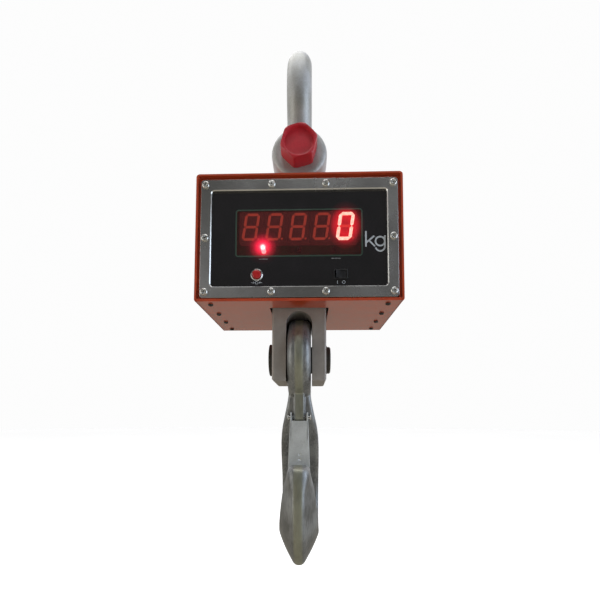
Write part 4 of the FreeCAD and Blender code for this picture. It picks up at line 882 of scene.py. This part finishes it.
def make_hook():
    """Forged eye hook: wedge sections down the back, round the bowl and up to a knobbed tip."""
    pin, latch = joint_place("hook_swing").z, joint_place("latch_open")
    load = next(Vector(m["pos_m"]) for m in frame["record"]["mounts"] if m["name"] == "load_point")
    eye, thick, inside = 48.7 * MM, 26.5 * MM, 31.0
    work = bmesh.new()
    loops = []
    rows = hook_rows(pin / MM, load.z / MM + inside, eye / MM)
    for y, z, lean, depth, inner, outer, knob in eased(rows, 6):
        lean = math.radians(lean)
        loops.append(wedge(Vector((0, y, z)) * MM, Vector((0, math.cos(lean), math.sin(lean))),
                           depth * MM, inner * MM, outer * MM, knob))
    skin(work, loops)
    bore, half, round_off, crown = 16.1 * MM, thick / 2, 8 * MM, 1.2 * MM
    shoulder = eye - crown - round_off
    profile = [(-half, bore), (-half, shoulder)]
    for step in range(1, 9):
        turn = math.pi / 2 * step / 8
        profile.append((-half + round_off * (1 - math.cos(turn)), shoulder + round_off * math.sin(turn)))
    profile.append((-half + round_off + 2.6 * MM, eye - 0.3 * MM))
    profile += [(-at, reach) for at, reach in reversed(profile)]
    spun(work, "X", (0, 0, pin), profile, 96, closed=True)
    lug, wall = 5.65 * MM, 6.5 * MM
    top, back = latch.z + 30 * MM, 2 * MM
    outline = [(latch.y - wall, top), *arc((latch.y, latch.z), wall, 180, 270, 5)]
    outline += [(back, latch.z - wall), (back, top)]
    skin(work, [[Vector((x, y, z)) for y, z in outline] for x in (-lug, lug)])
    mesh = forged(to_mesh("hook_forging", work), 0.85 * MM, 3)
    finish("hook_forging", mesh, "forging", "hook", ["hook"], 75, False)


def make_latch():
    """Pressed latch: a channel with two ears on a pin, two small dimples and a sprung coil each side."""
    pin = joint_place("latch_open")
    lean = Matrix.Rotation(math.radians(-2.4), 3, "X")
    sheet, top, end, long = 1.6 * MM, 10 * MM, 12.75 * MM, 68.5 * MM
    front, back, rise, web_top, taper = 9 * MM, 3 * MM, 6 * MM, 4 * MM, 26 * MM
    dimple, deep = 1.7 * MM, 0.7 * MM
    work = bmesh.new()

    def put(x, y, z):
        return pin + lean @ Vector((x, y, z))

    loops = []
    for step in range(101):
        z = -web_top - (long - web_top) * step / 100
        share = -z / long
        half = top + (end - top) * share
        face = []
        for column in range(-20, 21):
            x = half * column / 20
            dent = 0.0
            for spot in (0.60, 0.68):
                away = math.hypot(x - 0.8 * MM, z + long * spot) / dimple
                dent += deep * max(0.0, 1 - away ** 2)
            curl = deep * max(0.0, share - 0.9) * 10
            face.append((x, -front + dent + curl, z))
        loops.append([put(*p) for p in face] + [put(x, y + sheet, z) for x, y, z in reversed(face)])
    skin(work, loops)
    for sign in (-1, 1):
        outline = [(-front, -taper), (back - 8 * MM, -taper), (back - 1.5 * MM, -4 * MM), (back, 0)]
        outline += arc((0, rise - back + 0.2 * MM), back, 0, 90, 6)
        outline += [(-front + 2 * MM, rise), (-front + 0.6 * MM, rise - 0.6 * MM), (-front, rise - 2 * MM)]
        skin(work, [[put(sign * x, y, z) for y, z in outline] for x in (top - sheet, top)])
    mesh = bevelled(to_mesh("latch_channel", work), 0.3 * MM)
    finish("latch_channel", mesh, "zinc", "latch", ["latch"])
    low, shank, head, tall = Place("latch_pin").low.x, 2.5 * MM, 4 * MM, 1.5 * MM
    profile = [(low, head * 0.3), (low + 0.15 * MM, head * 0.7), (low + 0.7 * MM, head),
               (low + tall, head), (low + tall, shank)]
    profile += [(-at, reach) for at, reach in reversed(profile)]
    work = bmesh.new()
    spun(work, "X", (0, pin.y, pin.z), profile, 40)
    finish("latch_rivet", work, "screw_steel", "hook", ["latch_pin"])
    work = bmesh.new()
    wire, coil, start, advance, turns = 0.55 * MM, 3.2 * MM, 6.4 * MM, 1.3 * MM, 2
    for sign in (-1, 1):
        winding = arc((pin.y, pin.z), coil, 0, 360 * turns, 48)
        path = [Vector((sign * (start + advance * step / 48), y, z)) for step, (y, z) in enumerate(winding)]
        tube(work, path, wire, 10)
    finish("latch_coils", work, "wire", "hook", ["latch_spring"], 60)


# ------------ everything that keeps its CAD shape
KEPT = {
    "nylon": ["spacer_washers"],
    "machined": ["load_cell", "fork_lock_pin"],
    "bronze": ["lug_bush"],
    "black_oxide": ["bracket_screws"],
    "zinc": ["cell_brackets", "battery_tray", "bezel_nuts", "button_nut", "board_standoffs"],
    "rubber": ["top_seal", "bezel_gasket", "rear_gasket"],
    "board": ["display_board", "main_board"],
    "part": ["board_parts", "lead_plug"],
    "cable": ["cell_lead", "display_ribbon"],
    "aluminium": ["gauge_covers"],
    "black_plastic": ["charge_socket"],
    "film": ["battery_pack"],
}


def paint_kept():
    """Give each CAD piece that stays its material."""
    for name, nodes in KEPT.items():
        for node in nodes:
            mesh = frame["nodes"][node].data
            mesh.materials.clear()
            mesh.materials.append(MATERIALS[name])


# ------------ studio
def seen_and_lighting(tree, seen, lighting, output):
    """One shader for what is seen straight, another for light and reflections."""
    straight = add(tree, "LightPath", {}, "Is Camera Ray")
    either = add(tree, "MixShader", {"Fac": straight, 1: lighting, 2: seen})
    tree.links.new(either, tree.nodes[output].inputs["Surface"])


def make_floor():
    """A pale, faintly glowing floor, as of a light table, a hand's breadth under the hook."""
    low, reach = Place("hook").low.z - 0.09, 9.0
    work = bmesh.new()
    work.faces.new([work.verts.new((reach * math.cos(a), reach * math.sin(a), low))
                    for a in (2 * math.pi * s / 64 for s in range(64))])
    mesh = to_mesh("studio_floor", work)
    floor = bpy.data.objects.new("studio_floor", mesh)
    bpy.context.collection.objects.link(floor)
    material, tree, shader = new_material("studio_floor")
    cloud = noise(tree, object_coordinates(tree), 0.8, 2.0)
    pale = ramp(tree, cloud, (0.3, (0.80, 0.80, 0.80)), (0.7, (0.84, 0.84, 0.84)))
    feed(tree, shader, {"Base Color": pale, "Roughness": 0.9, "Specular IOR Level": 0.0,
                        "Emission Color": (1, 1, 1, 1), "Emission Strength": 0.55})
    shaded = add(tree, "BsdfDiffuse", {"Color": (0.42, 0.385, 0.32, 1)})
    seen_and_lighting(tree, shader.outputs["BSDF"], shaded, "Material Output")
    mesh.materials.append(material)


def area_light(name, place, target, wide, tall, power, colour=(1, 1, 1)):
    data = bpy.data.lights.new(name, "AREA")
    data.shape = "RECTANGLE"
    data.size, data.size_y = wide, tall
    data.energy = power
    data.color = colour
    light = bpy.data.objects.new(name, data)
    light.location = place
    light.rotation_euler = (Vector(target) - Vector(place)).to_track_quat("-Z", "Y").to_euler()
    bpy.context.collection.objects.link(light)


def make_lights():
    """Soft boxes over and beside the scale, and a world that is brighter behind it than in front."""
    middle = (0, 0, -0.28)
    area_light("top_box", (-0.2, -0.15, 1.6), middle, 2.2, 1.5, 23)
    area_light("right_strip", (1.25, -0.6, -0.2), middle, 0.9, 1.5, 12, (0.72, 0.84, 1.0))
    area_light("left_strip", (-1.3, -0.7, -0.1), middle, 0.9, 1.4, 6, (1.0, 0.98, 0.90))
    world = bpy.data.worlds.new("studio")
    bpy.context.scene.world = world
    world.use_nodes = True
    tree = world.node_tree
    backdrop = tree.nodes["Background"]
    back = add(tree, "SeparateXYZ", {0: add(tree, "TexCoord", {}, "Generated")}, "Y")
    shade = ramp(tree, map_range(tree, back, -1.0, 1.0, 0.0, 1.0), (0.0, (0.11, 0.11, 0.11)),
                 (0.40, (0.19, 0.19, 0.19)), (0.60, (0.85, 0.85, 0.86)), (1.0, (1.0, 1.0, 1.0)))
    feed(tree, backdrop, {"Color": shade})
    seen = add(tree, "Background", {"Color": (0.98, 0.98, 0.98, 1)})
    seen_and_lighting(tree, seen, backdrop.outputs["Background"], "World Output")


def make_camera():
    """In front, a little to the right, low down and looking slightly up, as a reader stands."""
    data = bpy.data.cameras.new("camera")
    data.sensor_width = 36
    data.lens = 21.27
    data.shift_y = 0.16
    camera = bpy.data.objects.new("camera", data)
    bpy.context.collection.objects.link(camera)
    yaw, pitch, roll = (math.radians(a) for a in (1.64, 3.52, 0.15))
    forward = Vector((-math.sin(yaw) * math.cos(pitch), math.cos(yaw) * math.cos(pitch), math.sin(pitch)))
    right = Vector((math.cos(yaw), math.sin(yaw), 0))
    up = right.cross(forward)
    across = right * math.cos(roll) + up * math.sin(roll)
    above = up * math.cos(roll) - right * math.sin(roll)
    placed = Matrix((across, above, -forward)).transposed().to_4x4()
    case = Place("housing_shell")
    aside, away, below = 12.3 * MM, 424.9 * MM, 121.1 * MM
    placed.translation = (aside, -away, case.low.z - below)
    camera.matrix_world = placed
    bpy.context.scene.camera = camera


make_bow()
make_bolt()
make_nut_and_pin()
make_case()
make_bezel()
make_panel()
make_button()
make_rocker()
make_fork()
make_hook()
make_latch()
paint_kept()
make_floor()
make_lights()
make_camera()
bpy.context.scene.view_settings.view_transform = "Standard"
